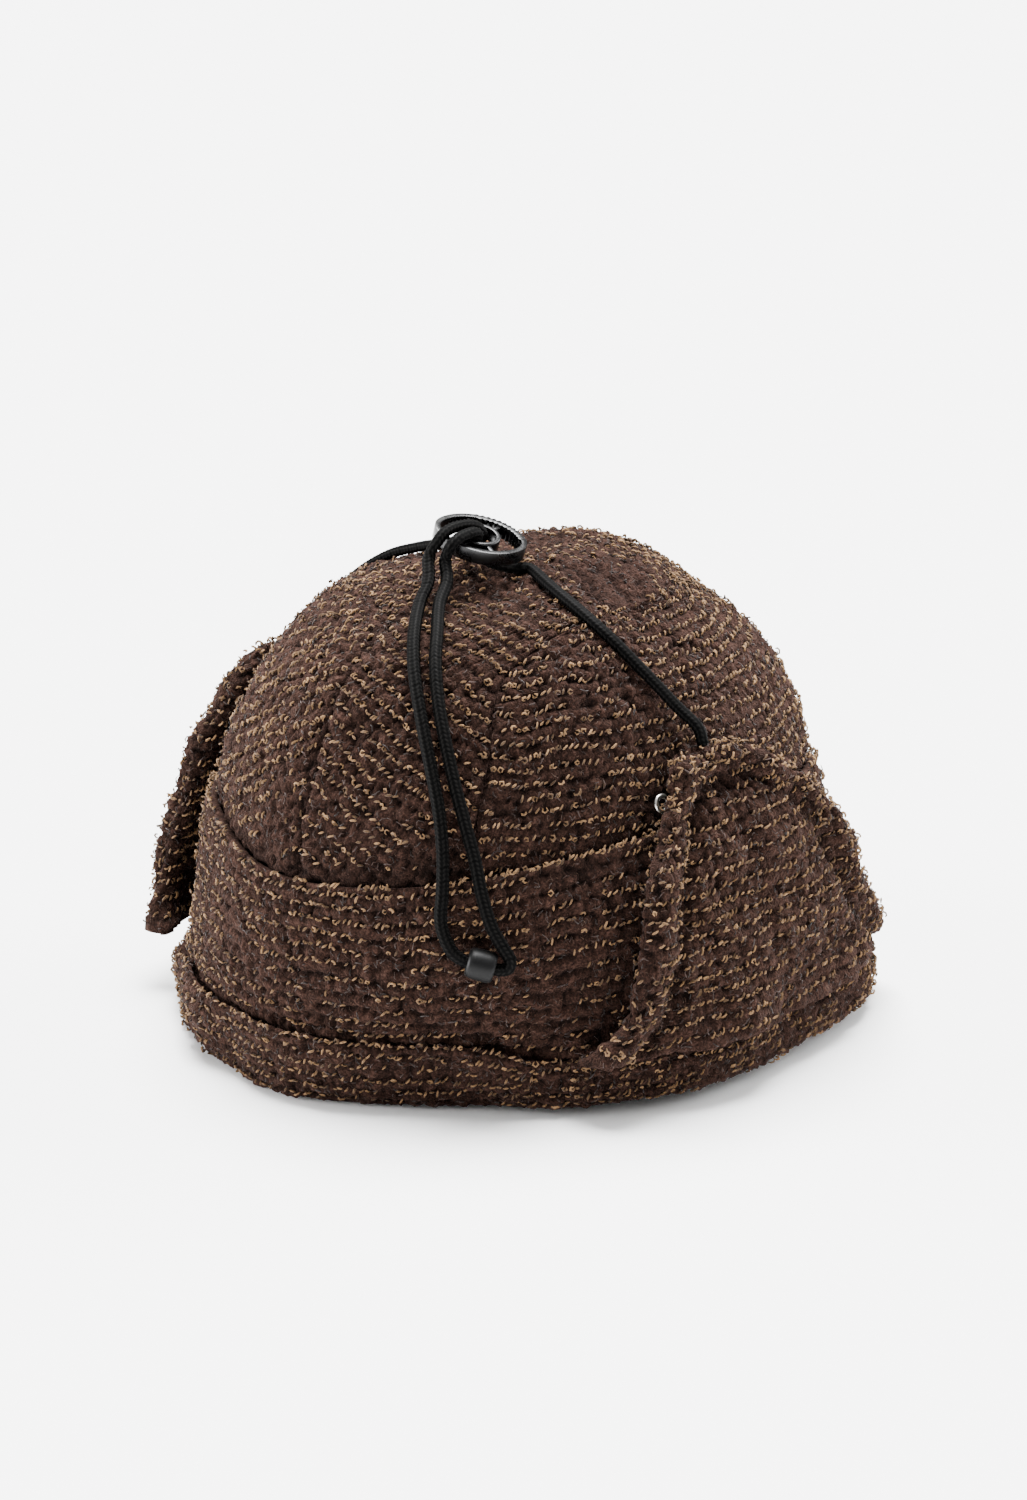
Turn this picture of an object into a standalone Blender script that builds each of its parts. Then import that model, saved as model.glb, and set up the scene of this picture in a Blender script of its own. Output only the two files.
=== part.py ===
"""A knitted winter hat with two ear flaps that are turned up and tied over the crown.

The hat stands on its rim, in metres, with +Z up. The wearer's brow is toward -Y and the
wearer's left ear toward +X. A place on the cloth is given by an angle round the head, 0 at
the left ear and -90 at the brow, and by a row, which counts the sections of the crown's
profile from the rim to the top.
"""
import math
from collections import namedtuple

import bmesh
import bpy
from mathutils import Matrix, Vector

# Driving dimensions, metres
CROWN_HEIGHT = 0.1325
BAND_HALF_WIDTH = 0.0905
BAND_HALF_LENGTH = 0.1045
BACK_LIFT = 0.004
END_RIDGE = 0.0022
CROWN_CLOTH = 0.0030
BAND_CLOTH = 0.0034
SEAM_TUCK = 0.0016
BROW_SEAM_HEIGHT = 0.062
EAR_SEAM_HEIGHT = 0.0755
SIDE_PANEL_TOP = 0.1268
CUFF_CLOTH = 0.0036
CUFF_TURN = 0.0032
CUFF_HEIGHT = 0.0205
CUFF_HEIGHT_AT_FLAP = 0.0165
FLAP_TIP_HEIGHT = 0.0935
FLAP_CLOTH = 0.0056
FLAP_HEM_CLOTH = 0.0078
FLAP_GROOVE_CLOTH = 0.0045
FLAP_HEM_WIDTH = 0.0110
CORD_DIAMETER = 0.0032
LOCK_LENGTH = 0.0262
LOCK_WIDTH = 0.0196
LOCK_DEPTH = 0.0040
LOCK_WALL = 0.0014
LOCK_RING_OUTSIDE = 0.0112
LOCK_RING_HOLE = 0.0084
LOCK_WEB = 0.0013
BEAD_DIAMETER = 0.0086
BEAD_LENGTH = 0.0076
BEAD_HOLE = 0.0042
EYELET_OUTSIDE = 0.0066
EYELET_HOLE = 0.0030
EYELET_RISE = 0.0009
GAP = 0.0003

# The crown's profile from the rim up: each section's height and reach as shares of
# CROWN_HEIGHT, BAND_HALF_WIDTH and BAND_HALF_LENGTH
Section = namedtuple("Section", "height side front back")
PROFILE = [
    Section(0.000, 0.988, 0.988, 0.988),
    Section(0.110, 1.000, 1.000, 1.000),
    Section(0.230, 0.973, 0.975, 0.970),
    Section(0.370, 0.932, 0.940, 0.922),
    Section(0.500, 0.892, 0.908, 0.876),
    Section(0.630, 0.838, 0.857, 0.818),
    Section(0.740, 0.768, 0.795, 0.742),
    Section(0.830, 0.687, 0.728, 0.650),
    Section(0.900, 0.595, 0.648, 0.550),
    Section(0.950, 0.492, 0.550, 0.440),
    Section(0.979, 0.370, 0.420, 0.325),
    Section(0.994, 0.210, 0.245, 0.190),
    Section(1.000, 0.000, 0.000, 0.000),
]
TOP_ROW = len(PROFILE) - 1

# Dents and swellings: where each is centred, how far it reaches and how deep it goes
Dent = namedtuple("Dent", "angle row angle_reach row_reach depth")
DENTS = [
    Dent(168, 9.5, 30, 1.3, 0.0030),
    Dent(42, 8.7, 24, 1.1, 0.0030),
    Dent(2, 9.6, 16, 0.9, 0.0012),
    Dent(35, 0.5, 24, 2.2, -0.0036),
    Dent(145, 0.5, 24, 2.2, -0.0036),
    Dent(-118, 0.0, 18, 2.5, 0.0022),
    Dent(-62, 0.0, 18, 2.5, 0.0022),
    Dent(-68, 0.0, 36, 1.8, 0.0105),
]

# The curved seam round each side panel: the share of the way from the band to the
# panel's top, and the angles of its front and back edges
PanelEdge = namedtuple("PanelEdge", "share front back")
SIDE_PANEL_EDGE = [
    PanelEdge(0.00, -54, 55),
    PanelEdge(0.20, -53, 54),
    PanelEdge(0.40, -51, 53),
    PanelEdge(0.60, -50, 50),
    PanelEdge(0.75, -46, 44),
    PanelEdge(0.87, -37, 33),
    PanelEdge(0.95, -26, 15),
    PanelEdge(1.00, -11, -11),
]
ABOVE_PANEL_SHARES = [0.22, 0.45, 0.70, 1.00]

# An ear flap from its fold to its tip: height share, the angles of its edges, and how
# far its inner face stands off the hat at the front, middle and back
FlapRow = namedtuple("FlapRow", "share front back off_front off_middle off_back")
LEFT_EAR_FLAP = [
    FlapRow(0.00, -37, 43, 0.0020, 0.0014, 0.0016),
    FlapRow(0.06, -33, 39, 0.0034, 0.0015, 0.0026),
    FlapRow(0.16, -30, 34, 0.0048, 0.0017, 0.0034),
    FlapRow(0.28, -29, 30, 0.0056, 0.0020, 0.0036),
    FlapRow(0.40, -28, 27, 0.0060, 0.0021, 0.0032),
    FlapRow(0.53, -27, 24, 0.0060, 0.0021, 0.0026),
    FlapRow(0.66, -25, 20, 0.0052, 0.0020, 0.0022),
    FlapRow(0.78, -23, 13, 0.0040, 0.0018, 0.0018),
    FlapRow(0.89, -21, 5, 0.0028, 0.0016, 0.0016),
    FlapRow(0.96, -18, 0, 0.0020, 0.0015, 0.0015),
    FlapRow(1.00, -14, -4, 0.0016, 0.0015, 0.0015),
]
RIGHT_EAR_FLAP = [
    FlapRow(0.00, -35, 43, 0.0060, 0.0018, 0.0016),
    FlapRow(0.06, -32, 39, 0.0090, 0.0022, 0.0024),
    FlapRow(0.16, -30, 34, 0.0108, 0.0030, 0.0030),
    FlapRow(0.28, -29, 30, 0.0112, 0.0034, 0.0032),
    FlapRow(0.40, -28, 27, 0.0110, 0.0034, 0.0030),
    FlapRow(0.53, -27, 24, 0.0104, 0.0030, 0.0026),
    FlapRow(0.66, -25, 20, 0.0088, 0.0026, 0.0022),
    FlapRow(0.78, -23, 13, 0.0066, 0.0022, 0.0018),
    FlapRow(0.89, -21, 5, 0.0044, 0.0018, 0.0016),
    FlapRow(0.96, -18, 0, 0.0028, 0.0015, 0.0015),
    FlapRow(1.00, -14, -4, 0.0018, 0.0015, 0.0015),
]

# The cord's route by hand, in millimetres: from the left flap's tip up to the lock, down
# the brow to the bead, back up through the lock and over to the right flap's tip
CORD_ROUTE = [
    (75.0, -12.8, 96.4), (73.5, -12.7, 99.6), (68.4, -14.3, 104.4), (63.6, -17.2, 110.4),
    (58.2, -19.4, 115.8), (52.6, -21.2, 120.9), (46.3, -22.2, 125.3), (38.6, -21.4, 128.7),
    (30.0, -19.4, 131.3), (22.6, -16.4, 132.6), (14.3, -12.7, 133.6), (11.9, -15.2, 133.8),
    (9.5, -17.3, 134.2), (7.0, -18.9, 134.8), (4.9, -20.1, 135.7), (3.1, -21.2, 137.8),
    (2.8, -22.0, 140.1), (3.3, -22.5, 142.3), (3.8, -22.9, 144.3), (4.1, -25.0, 145.5),
    (3.9, -28.5, 145.6), (3.7, -31.9, 144.8), (3.2, -34.0, 142.2), (2.4, -35.0, 138.2),
    (5.9, -38.5, 133.7), (9.6, -46.2, 129.9), (17.0, -55.6, 125.7), (22.8, -63.0, 120.0),
    (29.0, -69.0, 111.5), (34.8, -72.9, 102.4), (40.6, -75.7, 91.8), (45.6, -77.3, 82.1),
    (49.7, -78.3, 73.5), (53.0, -79.2, 64.5), (56.2, -79.2, 56.8), (59.2, -78.4, 51.6),
    (61.2, -77.4, 47.9), (60.9, -77.8, 45.4), (58.9, -79.3, 44.9), (57.2, -80.6, 45.5),
    (55.2, -82.2, 46.2), (53.2, -83.8, 46.9), (51.5, -85.1, 47.5), (48.9, -86.5, 49.6),
    (46.5, -87.0, 53.6), (45.0, -86.8, 58.4), (44.4, -85.4, 65.6), (42.6, -83.2, 75.6),
    (39.2, -80.8, 85.8), (34.4, -78.2, 95.4), (29.0, -75.1, 104.8), (22.8, -70.7, 113.6),
    (17.6, -66.0, 119.8), (11.6, -58.8, 125.7), (4.8, -48.8, 130.0), (2.3, -42.2, 133.8),
    (-1.6, -37.3, 139.0), (-0.9, -35.3, 142.8), (-0.5, -32.4, 145.7), (-0.1, -28.7, 147.0),
    (0.7, -24.5, 147.1), (1.7, -21.0, 146.2), (2.1, -19.3, 144.0), (1.8, -18.8, 141.4),
    (0.8, -18.6, 139.2), (-1.5, -18.2, 137.5), (-5.2, -17.8, 136.4), (-8.8, -9.8, 134.6),
    (-17.0, -6.6, 133.4), (-27.0, -3.4, 131.9), (-38.2, -1.6, 128.6), (-48.8, -2.0, 124.4),
    (-58.8, -4.6, 117.2), (-66.9, -8.0, 107.2), (-73.4, -12.2, 99.7), (-75.0, -12.6, 96.4),
]
CORD_POINTS = 80
# Points lie closer where the cord bends: one radian counts as this much length
CORD_TURN_PACE = 0.02

# The lock lies askew on the cord: its middle and the directions of its length and bore
LOCK_CENTRE = Vector((0.0025, -0.0205, 0.1414))
LOCK_BORE = Vector((0.326, -0.073, 0.942)).normalized()
LOCK_ALONG = Vector((0.791, 0.567, -0.230)).normalized()

# The bead hangs in the cord's bight in front of the band
BEAD_CENTRE = Vector((0.0552, -0.0822, 0.0462))
BEAD_ALONG = Vector((0.76, 0.59, -0.27)).normalized()

# The eyelet's place on each side panel
EYELET_ANGLE = -17
EYELET_HEIGHT = 0.0812

# Facets
ROUND_THE_HEAD = 48
PANEL_COLUMNS = 9
ROUND_STEPS = 12

PALETTE = {
    "brown_knit": ((0.105, 0.062, 0.043), 0.95, 0.0),
    "black_cord": ((0.012, 0.012, 0.013), 0.85, 0.0),
    "black_plastic": ((0.010, 0.010, 0.011), 0.22, 0.0),
    "matte_bead": ((0.030, 0.030, 0.033), 0.45, 0.0),
    "eyelet_metal": ((0.62, 0.60, 0.57), 0.25, 1.0),
}


def clear_scene():
    for old in list(bpy.data.objects):
        bpy.data.objects.remove(old, do_unlink=True)


def material(name):
    """The piece's own Principled finish."""
    colour, roughness, metallic = PALETTE[name]
    finish = bpy.data.materials.new(name)
    finish.use_nodes = True
    shader = finish.node_tree.nodes["Principled BSDF"]
    shader.inputs["Base Color"].default_value = (*colour, 1.0)
    shader.inputs["Roughness"].default_value = roughness
    shader.inputs["Metallic"].default_value = metallic
    return finish


def add_piece(name, mesh, finish):
    piece = bpy.data.objects.new(name, mesh)
    piece.data.materials.append(material(finish))
    hat.objects.link(piece)
    return piece


def smooth_step(value):
    value = min(max(value, 0.0), 1.0)
    return value * value * (3.0 - 2.0 * value)


def read_column(values, place):
    """A smooth curve through a table's column, read at a row that need not be whole."""
    last = len(values) - 1
    place = min(max(place, 0.0), float(last))
    step = min(int(place), last - 1)
    part = place - step
    here = values[step]
    after = values[step + 1]
    before = values[step - 1] if step > 0 else 2 * here - after
    beyond = values[step + 2] if step + 2 <= last else 2 * after - here
    return 0.5 * (
        2 * here
        + (after - before) * part
        + (2 * before - 5 * here + 4 * after - beyond) * part ** 2
        + (3 * here - before - 3 * after + beyond) * part ** 3
    )


def row_at(height):
    """The row whose height above the rim is the one given."""
    low = 0.0
    high = float(TOP_ROW)
    heights = [section.height * CROWN_HEIGHT for section in PROFILE]
    for _ in range(30):
        middle = 0.5 * (low + high)
        if read_column(heights, middle) < height:
            low = middle
        else:
            high = middle
    return 0.5 * (low + high)


def dent_depth(angle, row):
    depth = 0.0
    for dent in DENTS:
        turn = (angle - dent.angle + 180) % 360 - 180
        away = (turn / dent.angle_reach) ** 2 + ((row - dent.row) / dent.row_reach) ** 2
        depth += dent.depth * math.exp(-away)
    return depth


def hat_point(angle, row):
    """A point on the outside of the band or the crown."""
    side = read_column([section.side for section in PROFILE], row)
    front = read_column([section.front for section in PROFILE], row)
    back = read_column([section.back for section in PROFILE], row)
    height = read_column([section.height for section in PROFILE], row)
    across = math.cos(math.radians(angle))
    along = math.sin(math.radians(angle))
    reach = front if along < 0 else back
    ridge = END_RIDGE * math.exp((abs(along) - 1) / 0.03) * min(max(1.4 * side - 0.3, 0), 1)
    x = BAND_HALF_WIDTH * side * across
    y = BAND_HALF_LENGTH * reach * along + math.copysign(ridge, along)
    z = CROWN_HEIGHT * height + BACK_LIFT * y / BAND_HALF_LENGTH * height ** 6
    place = Vector((x, y, z))
    inward = place - Vector((0, 0, min(z, 0.4 * CROWN_HEIGHT)))
    if inward.length > 0:
        place -= inward.normalized() * dent_depth(angle, row)
    return place


def hat_normal(angle, row):
    """The outward direction there."""
    if row > TOP_ROW - 0.02:
        return Vector((0, 0, 1))
    round_it = hat_point(angle + 0.5, row) - hat_point(angle - 0.5, row)
    up_it = hat_point(angle, min(row + 0.05, TOP_ROW)) - hat_point(angle, max(row - 0.05, 0))
    return round_it.cross(up_it).normalized()


def seam_row(angle):
    """The seam between band and crown, low at the brow and high at the ears."""
    share = math.cos(math.radians(angle)) ** 2
    return row_at(BROW_SEAM_HEIGHT + (EAR_SEAM_HEIGHT - BROW_SEAM_HEIGHT) * share)


def crown_place(angle, level):
    """Outside point and normal on the crown. Level 0 is the seam with the band, 1 is as
    high as the side panels reach and 2 is the top."""
    seam = seam_row(angle)
    shoulder = row_at(SIDE_PANEL_TOP)
    if level <= 1:
        row = seam + level * (shoulder - seam)
    else:
        row = shoulder + (level - 1) * (TOP_ROW - shoulder)
    normal = hat_normal(angle, row)
    tuck = SEAM_TUCK * math.exp(-((row - seam) / 0.55) ** 2)
    return hat_point(angle, row) - normal * tuck, normal


def seam_shift(before, here, after, normal):
    """Half the gap of a seam, square to the edge, toward the inside of a loop that runs
    anticlockwise seen from outside."""
    first = normal.cross((here - before).normalized()).normalized()
    second = normal.cross((after - here).normalized()).normalized()
    return (first + second) * (0.5 * GAP / (1 + first.dot(second)))


def draw_in(outer, inner, normals, loop):
    """Moves a sheet's edge in by half a gap, on both of its faces."""
    shifts = []
    for index, (row, column) in enumerate(loop):
        before = loop[index - 1]
        after = loop[(index + 1) % len(loop)]
        shifts.append(seam_shift(
            outer[before[0]][before[1]], outer[row][column],
            outer[after[0]][after[1]], normals[row][column],
        ))
    for (row, column), shift in zip(loop, shifts):
        outer[row][column] = outer[row][column] + shift
        inner[row][column] = inner[row][column] + shift


def edge_loop(rows):
    """The places round the edge of a sheet of rows, anticlockwise seen from outside. A
    row of one point is a tip."""
    last = len(rows) - 1
    loop = [(0, column) for column in range(len(rows[0]))]
    loop += [(row, len(rows[row]) - 1) for row in range(1, last)]
    loop += [(last, column) for column in reversed(range(len(rows[last])))]
    loop += [(row, 0) for row in range(last - 1, 0, -1)]
    return loop


def sheet_mesh(name, outer, inner, ring=False):
    """A closed wall between an outer and an inner face. Each face is a list of rows, and
    the last row may be a single point. A ring joins each row's end to its start."""
    shape = bmesh.new()
    faces = []
    for side in (outer, inner):
        faces.append([[shape.verts.new(point) for point in row] for row in side])
    for flip, rows in enumerate(faces):
        for low, high in zip(rows, rows[1:]):
            count = len(low) if ring else len(low) - 1
            for column in range(count):
                follow = (column + 1) % len(low)
                corners = [low[column], low[follow]]
                if len(high) == 1:
                    corners.append(high[0])
                else:
                    corners += [high[follow], high[column]]
                shape.faces.new(corners[::-1] if flip else corners)
    if ring:
        edges = [[(0, c) for c in range(len(outer[0]))]]
        edges.append([(len(outer) - 1, c) for c in reversed(range(len(outer[-1])))])
    else:
        edges = [edge_loop(outer)]
    for loop in edges:
        for index, (row, column) in enumerate(loop):
            next_row, next_column = loop[(index + 1) % len(loop)]
            shape.faces.new((
                faces[0][next_row][next_column], faces[0][row][column],
                faces[1][row][column], faces[1][next_row][next_column],
            ))
    bmesh.ops.recalc_face_normals(shape, faces=shape.faces)
    mesh = bpy.data.meshes.new(name)
    shape.to_mesh(mesh)
    shape.free()
    return mesh


def ring_mesh(name, loops):
    """A closed ring whose sections are loops with as many points each."""
    shape = bmesh.new()
    verts = [[shape.verts.new(point) for point in loop] for loop in loops]
    for here, after in zip(verts, verts[1:] + verts[:1]):
        for index in range(len(here)):
            follow = (index + 1) % len(here)
            shape.faces.new((here[index], here[follow], after[follow], after[index]))
    bmesh.ops.recalc_face_normals(shape, faces=shape.faces)
    mesh = bpy.data.meshes.new(name)
    shape.to_mesh(mesh)
    shape.free()
    return mesh


def crown_panel(name, edges, mirrored):
    """One panel of the crown. Each entry of edges is a level and the angles between which
    the panel runs there; where the two angles meet, or at the top, it ends in a point."""
    outer = []
    normals = []
    for level, start, end in edges:
        tip = level == 2 or start == end
        steps = [0] if tip else range(PANEL_COLUMNS + 1)
        angles = [start + (end - start) * step / PANEL_COLUMNS for step in steps]
        if mirrored:
            angles = [180 - angle for angle in reversed(angles)]
        places = [crown_place(angle, level) for angle in angles]
        outer.append([place for place, _ in places])
        normals.append([normal for _, normal in places])
    inner = [
        [point - normal * CROWN_CLOTH for point, normal in zip(*rows)]
        for rows in zip(outer, normals)
    ]
    draw_in(outer, inner, normals, edge_loop(outer))
    add_piece(name, sheet_mesh(name, outer, inner), "brown_knit")


def build_crown():
    """A curved panel over each ear, and two panels at the brow and two at the back, which
    meet along the middle and along a short cross seam at the top."""
    meeting = SIDE_PANEL_EDGE[-1].front
    above = [1 + share for share in ABOVE_PANEL_SHARES]
    side = [(edge.share, edge.front, edge.back) for edge in SIDE_PANEL_EDGE]
    front = [(edge.share, -90, edge.front) for edge in SIDE_PANEL_EDGE]
    front += [(level, -90, meeting) for level in above]
    back = [(edge.share, edge.back, 90) for edge in SIDE_PANEL_EDGE]
    back += [(level, meeting, 90) for level in above]
    for hand, mirrored in (("left", False), ("right", True)):
        crown_panel(f"crown_side_{hand}", side, mirrored)
        crown_panel(f"crown_front_{hand}", front, mirrored)
        crown_panel(f"crown_back_{hand}", back, mirrored)


def cuff_top(angle):
    """The turned-up edge is lower where an ear flap stands on it."""
    from_ear = min(abs((angle + 180) % 360 - 180), abs(angle % 360 - 180))
    turn = (angle + 90) % 360
    to_brow = min(turn, 360 - turn)
    flap_half_span = 57 if to_brow > 90 else 42
    share = smooth_step((from_ear - flap_half_span) / 12)
    return CUFF_HEIGHT_AT_FLAP + (CUFF_HEIGHT - CUFF_HEIGHT_AT_FLAP) * share


def cuff_rows(angle):
    """The rows where the band has edges behind the cuff: its foot, half way and level
    with the cuff's top."""
    foot = CUFF_TURN + GAP
    top = cuff_top(angle)
    return [row_at(height) for height in (foot, 0.5 * (foot + top), top)]


def head_angles():
    return [360 * step / ROUND_THE_HEAD - 90 for step in range(ROUND_THE_HEAD)]


def build_band():
    """The straight wall round the head, between the turned rim and the crown's seam."""
    columns = []
    for angle in head_angles():
        rows = cuff_rows(angle)
        above = seam_row(angle) - rows[-1]
        rows += [rows[-1] + share * above for share in (0.3, 0.6, 0.84, 1.0)]
        columns.append([(hat_point(angle, row), hat_normal(angle, row)) for row in rows])
    outer = [[place[0] for place in level] for level in zip(*columns)]
    normals = [[place[1] for place in level] for level in zip(*columns)]
    inner = [
        [point - normal * BAND_CLOTH for point, normal in zip(*level)]
        for level in zip(outer, normals)
    ]
    for point in outer[0] + inner[0]:
        point.z = CUFF_TURN + GAP
    top = len(outer) - 1
    draw_in(outer, inner, normals, [(top, c) for c in reversed(range(ROUND_THE_HEAD))])
    add_piece("band", sheet_mesh("band", outer, inner, ring=True), "brown_knit")


def build_cuff():
    """The hat's lower edge, turned under the band and up its outside."""
    reach = GAP + CUFF_CLOTH
    round_off = 0.35 * CUFF_CLOTH
    loops = []
    for angle in head_angles():
        foot_row, middle_row, top_row = cuff_rows(angle)
        top = cuff_top(angle)
        middle = hat_point(angle, middle_row).z
        section = [
            (foot_row, -BAND_CLOTH, CUFF_TURN),
            (foot_row, -BAND_CLOTH, 0.4 * CUFF_TURN),
            (foot_row, -0.6 * BAND_CLOTH, 0.0),
            (foot_row, 0.6 * reach, 0.0),
            (foot_row, reach, 0.45 * CUFF_TURN),
            (middle_row, reach + 0.2 * round_off, middle),
            (top_row, reach, top - round_off),
            (top_row, reach - round_off, top),
            (top_row, GAP, top),
            (middle_row, GAP, middle),
            (foot_row, GAP, CUFF_TURN),
        ]
        loop = []
        for row, out, height in section:
            normal = hat_normal(angle, row)
            normal.z = 0
            point = hat_point(angle, row) + normal.normalized() * out
            point.z = height
            loop.append(point)
        loops.append(loop)
    add_piece("edge_cuff", ring_mesh("edge_cuff", loops), "brown_knit")


def flap_thickness(from_edge):
    """A fat rolled hem, then a stitched groove, then the flat field."""
    if from_edge < FLAP_HEM_WIDTH:
        swell = math.sin(math.pi * min(from_edge / FLAP_HEM_WIDTH + 0.18, 1.0))
        rim = FLAP_GROOVE_CLOTH
        return rim + (FLAP_HEM_CLOTH - rim) * swell
    share = smooth_step((from_edge - FLAP_HEM_WIDTH) / (0.5 * FLAP_HEM_WIDTH))
    return FLAP_GROOVE_CLOTH + (FLAP_CLOTH - FLAP_GROOVE_CLOTH) * share


def flap_columns(width):
    """Distances across the flap: three at each hem, its groove, and the field between."""
    hem = min(FLAP_HEM_WIDTH, 0.3 * width)
    edge = [0.0, 0.35 * hem, 0.72 * hem, hem]
    field = [hem + (width - 2 * hem) * share for share in (0.1, 0.26, 0.42, 0.58, 0.74, 0.9)]
    return edge + field + [width - distance for distance in reversed(edge)]


def ear_flap(name, table, mirrored):
    """An ear flap turned up against the side of the hat, standing on the cuff."""
    fold = CUFF_HEIGHT_AT_FLAP + GAP
    outer = []
    inner = []
    for entry in table:
        height = fold + entry.share * (FLAP_TIP_HEIGHT - fold)
        row = row_at(height)
        arc = math.radians(entry.back - entry.front)
        width = arc * 0.5 * (BAND_HALF_WIDTH + BAND_HALF_LENGTH) * PROFILE[5].side
        from_tip = FLAP_TIP_HEIGHT - height
        outer_row = []
        inner_row = []
        for distance in flap_columns(width):
            share = distance / width
            angle = entry.front + (entry.back - entry.front) * share
            toward_front = smooth_step(1 - share / 0.45)
            toward_back = smooth_step((share - 0.6) / 0.4)
            off = entry.off_middle
            off += (entry.off_front - entry.off_middle) * toward_front
            off += (entry.off_back - entry.off_middle) * toward_back
            from_edge = min(distance, width - distance, from_tip + 0.0012)
            thick = flap_thickness(from_edge)
            if mirrored:
                angle = 180 - angle
            normal = hat_normal(angle, row)
            base = hat_point(angle, row)
            outer_row.append(base + normal * (off + thick))
            inner_row.append(base + normal * off)
        if entry.share == 0:
            for point in outer_row + inner_row:
                point.z = fold
        if mirrored:
            outer_row.reverse()
            inner_row.reverse()
        outer.append(outer_row)
        inner.append(inner_row)
    add_piece(name, sheet_mesh(name, outer, inner), "brown_knit")


def mesh_from_curve(curve_object):
    """The evaluated curve as a welded mesh, with the curve itself removed."""
    bpy.context.view_layer.update()
    graph = bpy.context.evaluated_depsgraph_get()
    mesh = bpy.data.meshes.new_from_object(curve_object.evaluated_get(graph))
    mesh.transform(curve_object.matrix_world)
    shape = bmesh.new()
    shape.from_mesh(mesh)
    bmesh.ops.remove_doubles(shape, verts=shape.verts, dist=0.00001)
    bmesh.ops.recalc_face_normals(shape, faces=shape.faces)
    shape.to_mesh(mesh)
    shape.free()
    data = curve_object.data
    bpy.data.objects.remove(curve_object, do_unlink=True)
    bpy.data.curves.remove(data)
    return mesh


def build_cord():
    """One cord from flap to flap, twice through the lock and once through the bead. It
    is read from a smooth curve through the route."""
    route = [Vector(point) * 0.001 for point in CORD_ROUTE]
    columns = list(zip(*route))
    dense = []
    for step in range(40 * (len(route) - 1) + 1):
        dense.append(Vector([read_column(column, step / 40) for column in columns]))
    travelled = [0.0, (dense[1] - dense[0]).length]
    for before, here, after in zip(dense, dense[1:], dense[2:]):
        turn = (here - before).angle(after - here)
        travelled.append(travelled[-1] + (after - here).length + CORD_TURN_PACE * turn)
    curve = bpy.data.curves.new("tie_cord", "CURVE")
    curve.dimensions = "3D"
    curve.bevel_depth = 0.5 * CORD_DIAMETER
    curve.bevel_resolution = 2
    curve.use_fill_caps = True
    spline = curve.splines.new("POLY")
    spline.points.add(CORD_POINTS - 1)
    index = 0
    for count in range(CORD_POINTS):
        target = travelled[-1] * count / (CORD_POINTS - 1)
        while index < len(travelled) - 1 and travelled[index] < target:
            index += 1
        spline.points[count].co = (*dense[index], 1.0)
    cord = bpy.data.objects.new("tie_cord", curve)
    cord.data.materials.append(material("black_cord"))
    hat.objects.link(cord)


def closed_outline(curve, points):
    spline = curve.splines.new("POLY")
    spline.points.add(len(points) - 1)
    for target, (x, y) in zip(spline.points, points):
        target.co = (x, y, 0.0, 1.0)
    spline.use_cyclic_u = True


def oval_point(turn, length, width):
    """A point on the lock's outline, an oval drawn out a little at its two ends."""
    x = 0.5 * length * math.cos(turn)
    y = 0.5 * width * math.sin(turn)
    return x, y * (1 - 0.12 * abs(math.cos(turn)) ** 3)


def build_lock():
    """A one-piece plastic cord lock: an oval hoop that is squeezed at its ends, a ring in
    its middle for the cord, and four thin webs between them."""
    curve = bpy.data.curves.new("cord_lock", "CURVE")
    curve.dimensions = "2D"
    curve.fill_mode = "BOTH"
    curve.extrude = 0.5 * LOCK_DEPTH
    turns = [2 * math.pi * step / 32 for step in range(32)]
    closed_outline(curve, [oval_point(turn, LOCK_LENGTH, LOCK_WIDTH) for turn in turns])
    hole = 0.5 * LOCK_RING_HOLE
    turns = [2 * math.pi * step / 20 for step in range(20)]
    closed_outline(curve, [(hole * math.cos(turn), hole * math.sin(turn)) for turn in turns])
    ring = 0.5 * LOCK_RING_OUTSIDE
    length = LOCK_LENGTH - 2 * LOCK_WALL
    width = LOCK_WIDTH - 2 * LOCK_WALL
    webs = [math.radians(degrees) for degrees in (58, 122, 238, 302)]
    for start, end in zip(webs, webs[1:] + [webs[0] + 2 * math.pi]):
        half_outside = 0.5 * LOCK_WEB / (0.5 * width)
        half_inside = 0.5 * LOCK_WEB / ring
        outside_span = end - start - 2 * half_outside
        inside_span = end - start - 2 * half_inside
        steps = 6
        points = []
        for step in range(steps + 1):
            turn = start + half_outside + outside_span * step / steps
            points.append(oval_point(turn, length, width))
        for step in range(steps + 1):
            turn = end - half_inside - inside_span * step / steps
            points.append((ring * math.cos(turn), ring * math.sin(turn)))
        closed_outline(curve, points)
    lock = bpy.data.objects.new("cord_lock", curve)
    across = LOCK_BORE.cross(LOCK_ALONG).normalized()
    along = across.cross(LOCK_BORE)
    turn = Matrix((along, across, LOCK_BORE)).transposed()
    lock.matrix_world = Matrix.Translation(LOCK_CENTRE) @ turn.to_4x4()
    hat.objects.link(lock)
    add_piece("cord_lock", mesh_from_curve(lock), "black_plastic")


def turned_ring(name, profile, centre, axis, finish):
    """A ring turned from a closed profile of radius and height pairs, which runs down its
    outer side and back up its bore."""
    count = len(profile)
    mesh = bpy.data.meshes.new(name)
    points = [(radius, 0.0, height) for radius, height in profile]
    mesh.from_pydata(points, [(index, (index + 1) % count) for index in range(count)], [])
    ring = add_piece(name, mesh, finish)
    turn = axis.to_track_quat("Z", "Y").to_matrix().to_4x4()
    ring.matrix_world = Matrix.Translation(centre) @ turn
    screw = ring.modifiers.new("turn", "SCREW")
    screw.axis = "Z"
    screw.steps = ROUND_STEPS
    screw.render_steps = ROUND_STEPS
    screw.use_merge_vertices = True
    screw.merge_threshold = 0.00001


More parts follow.
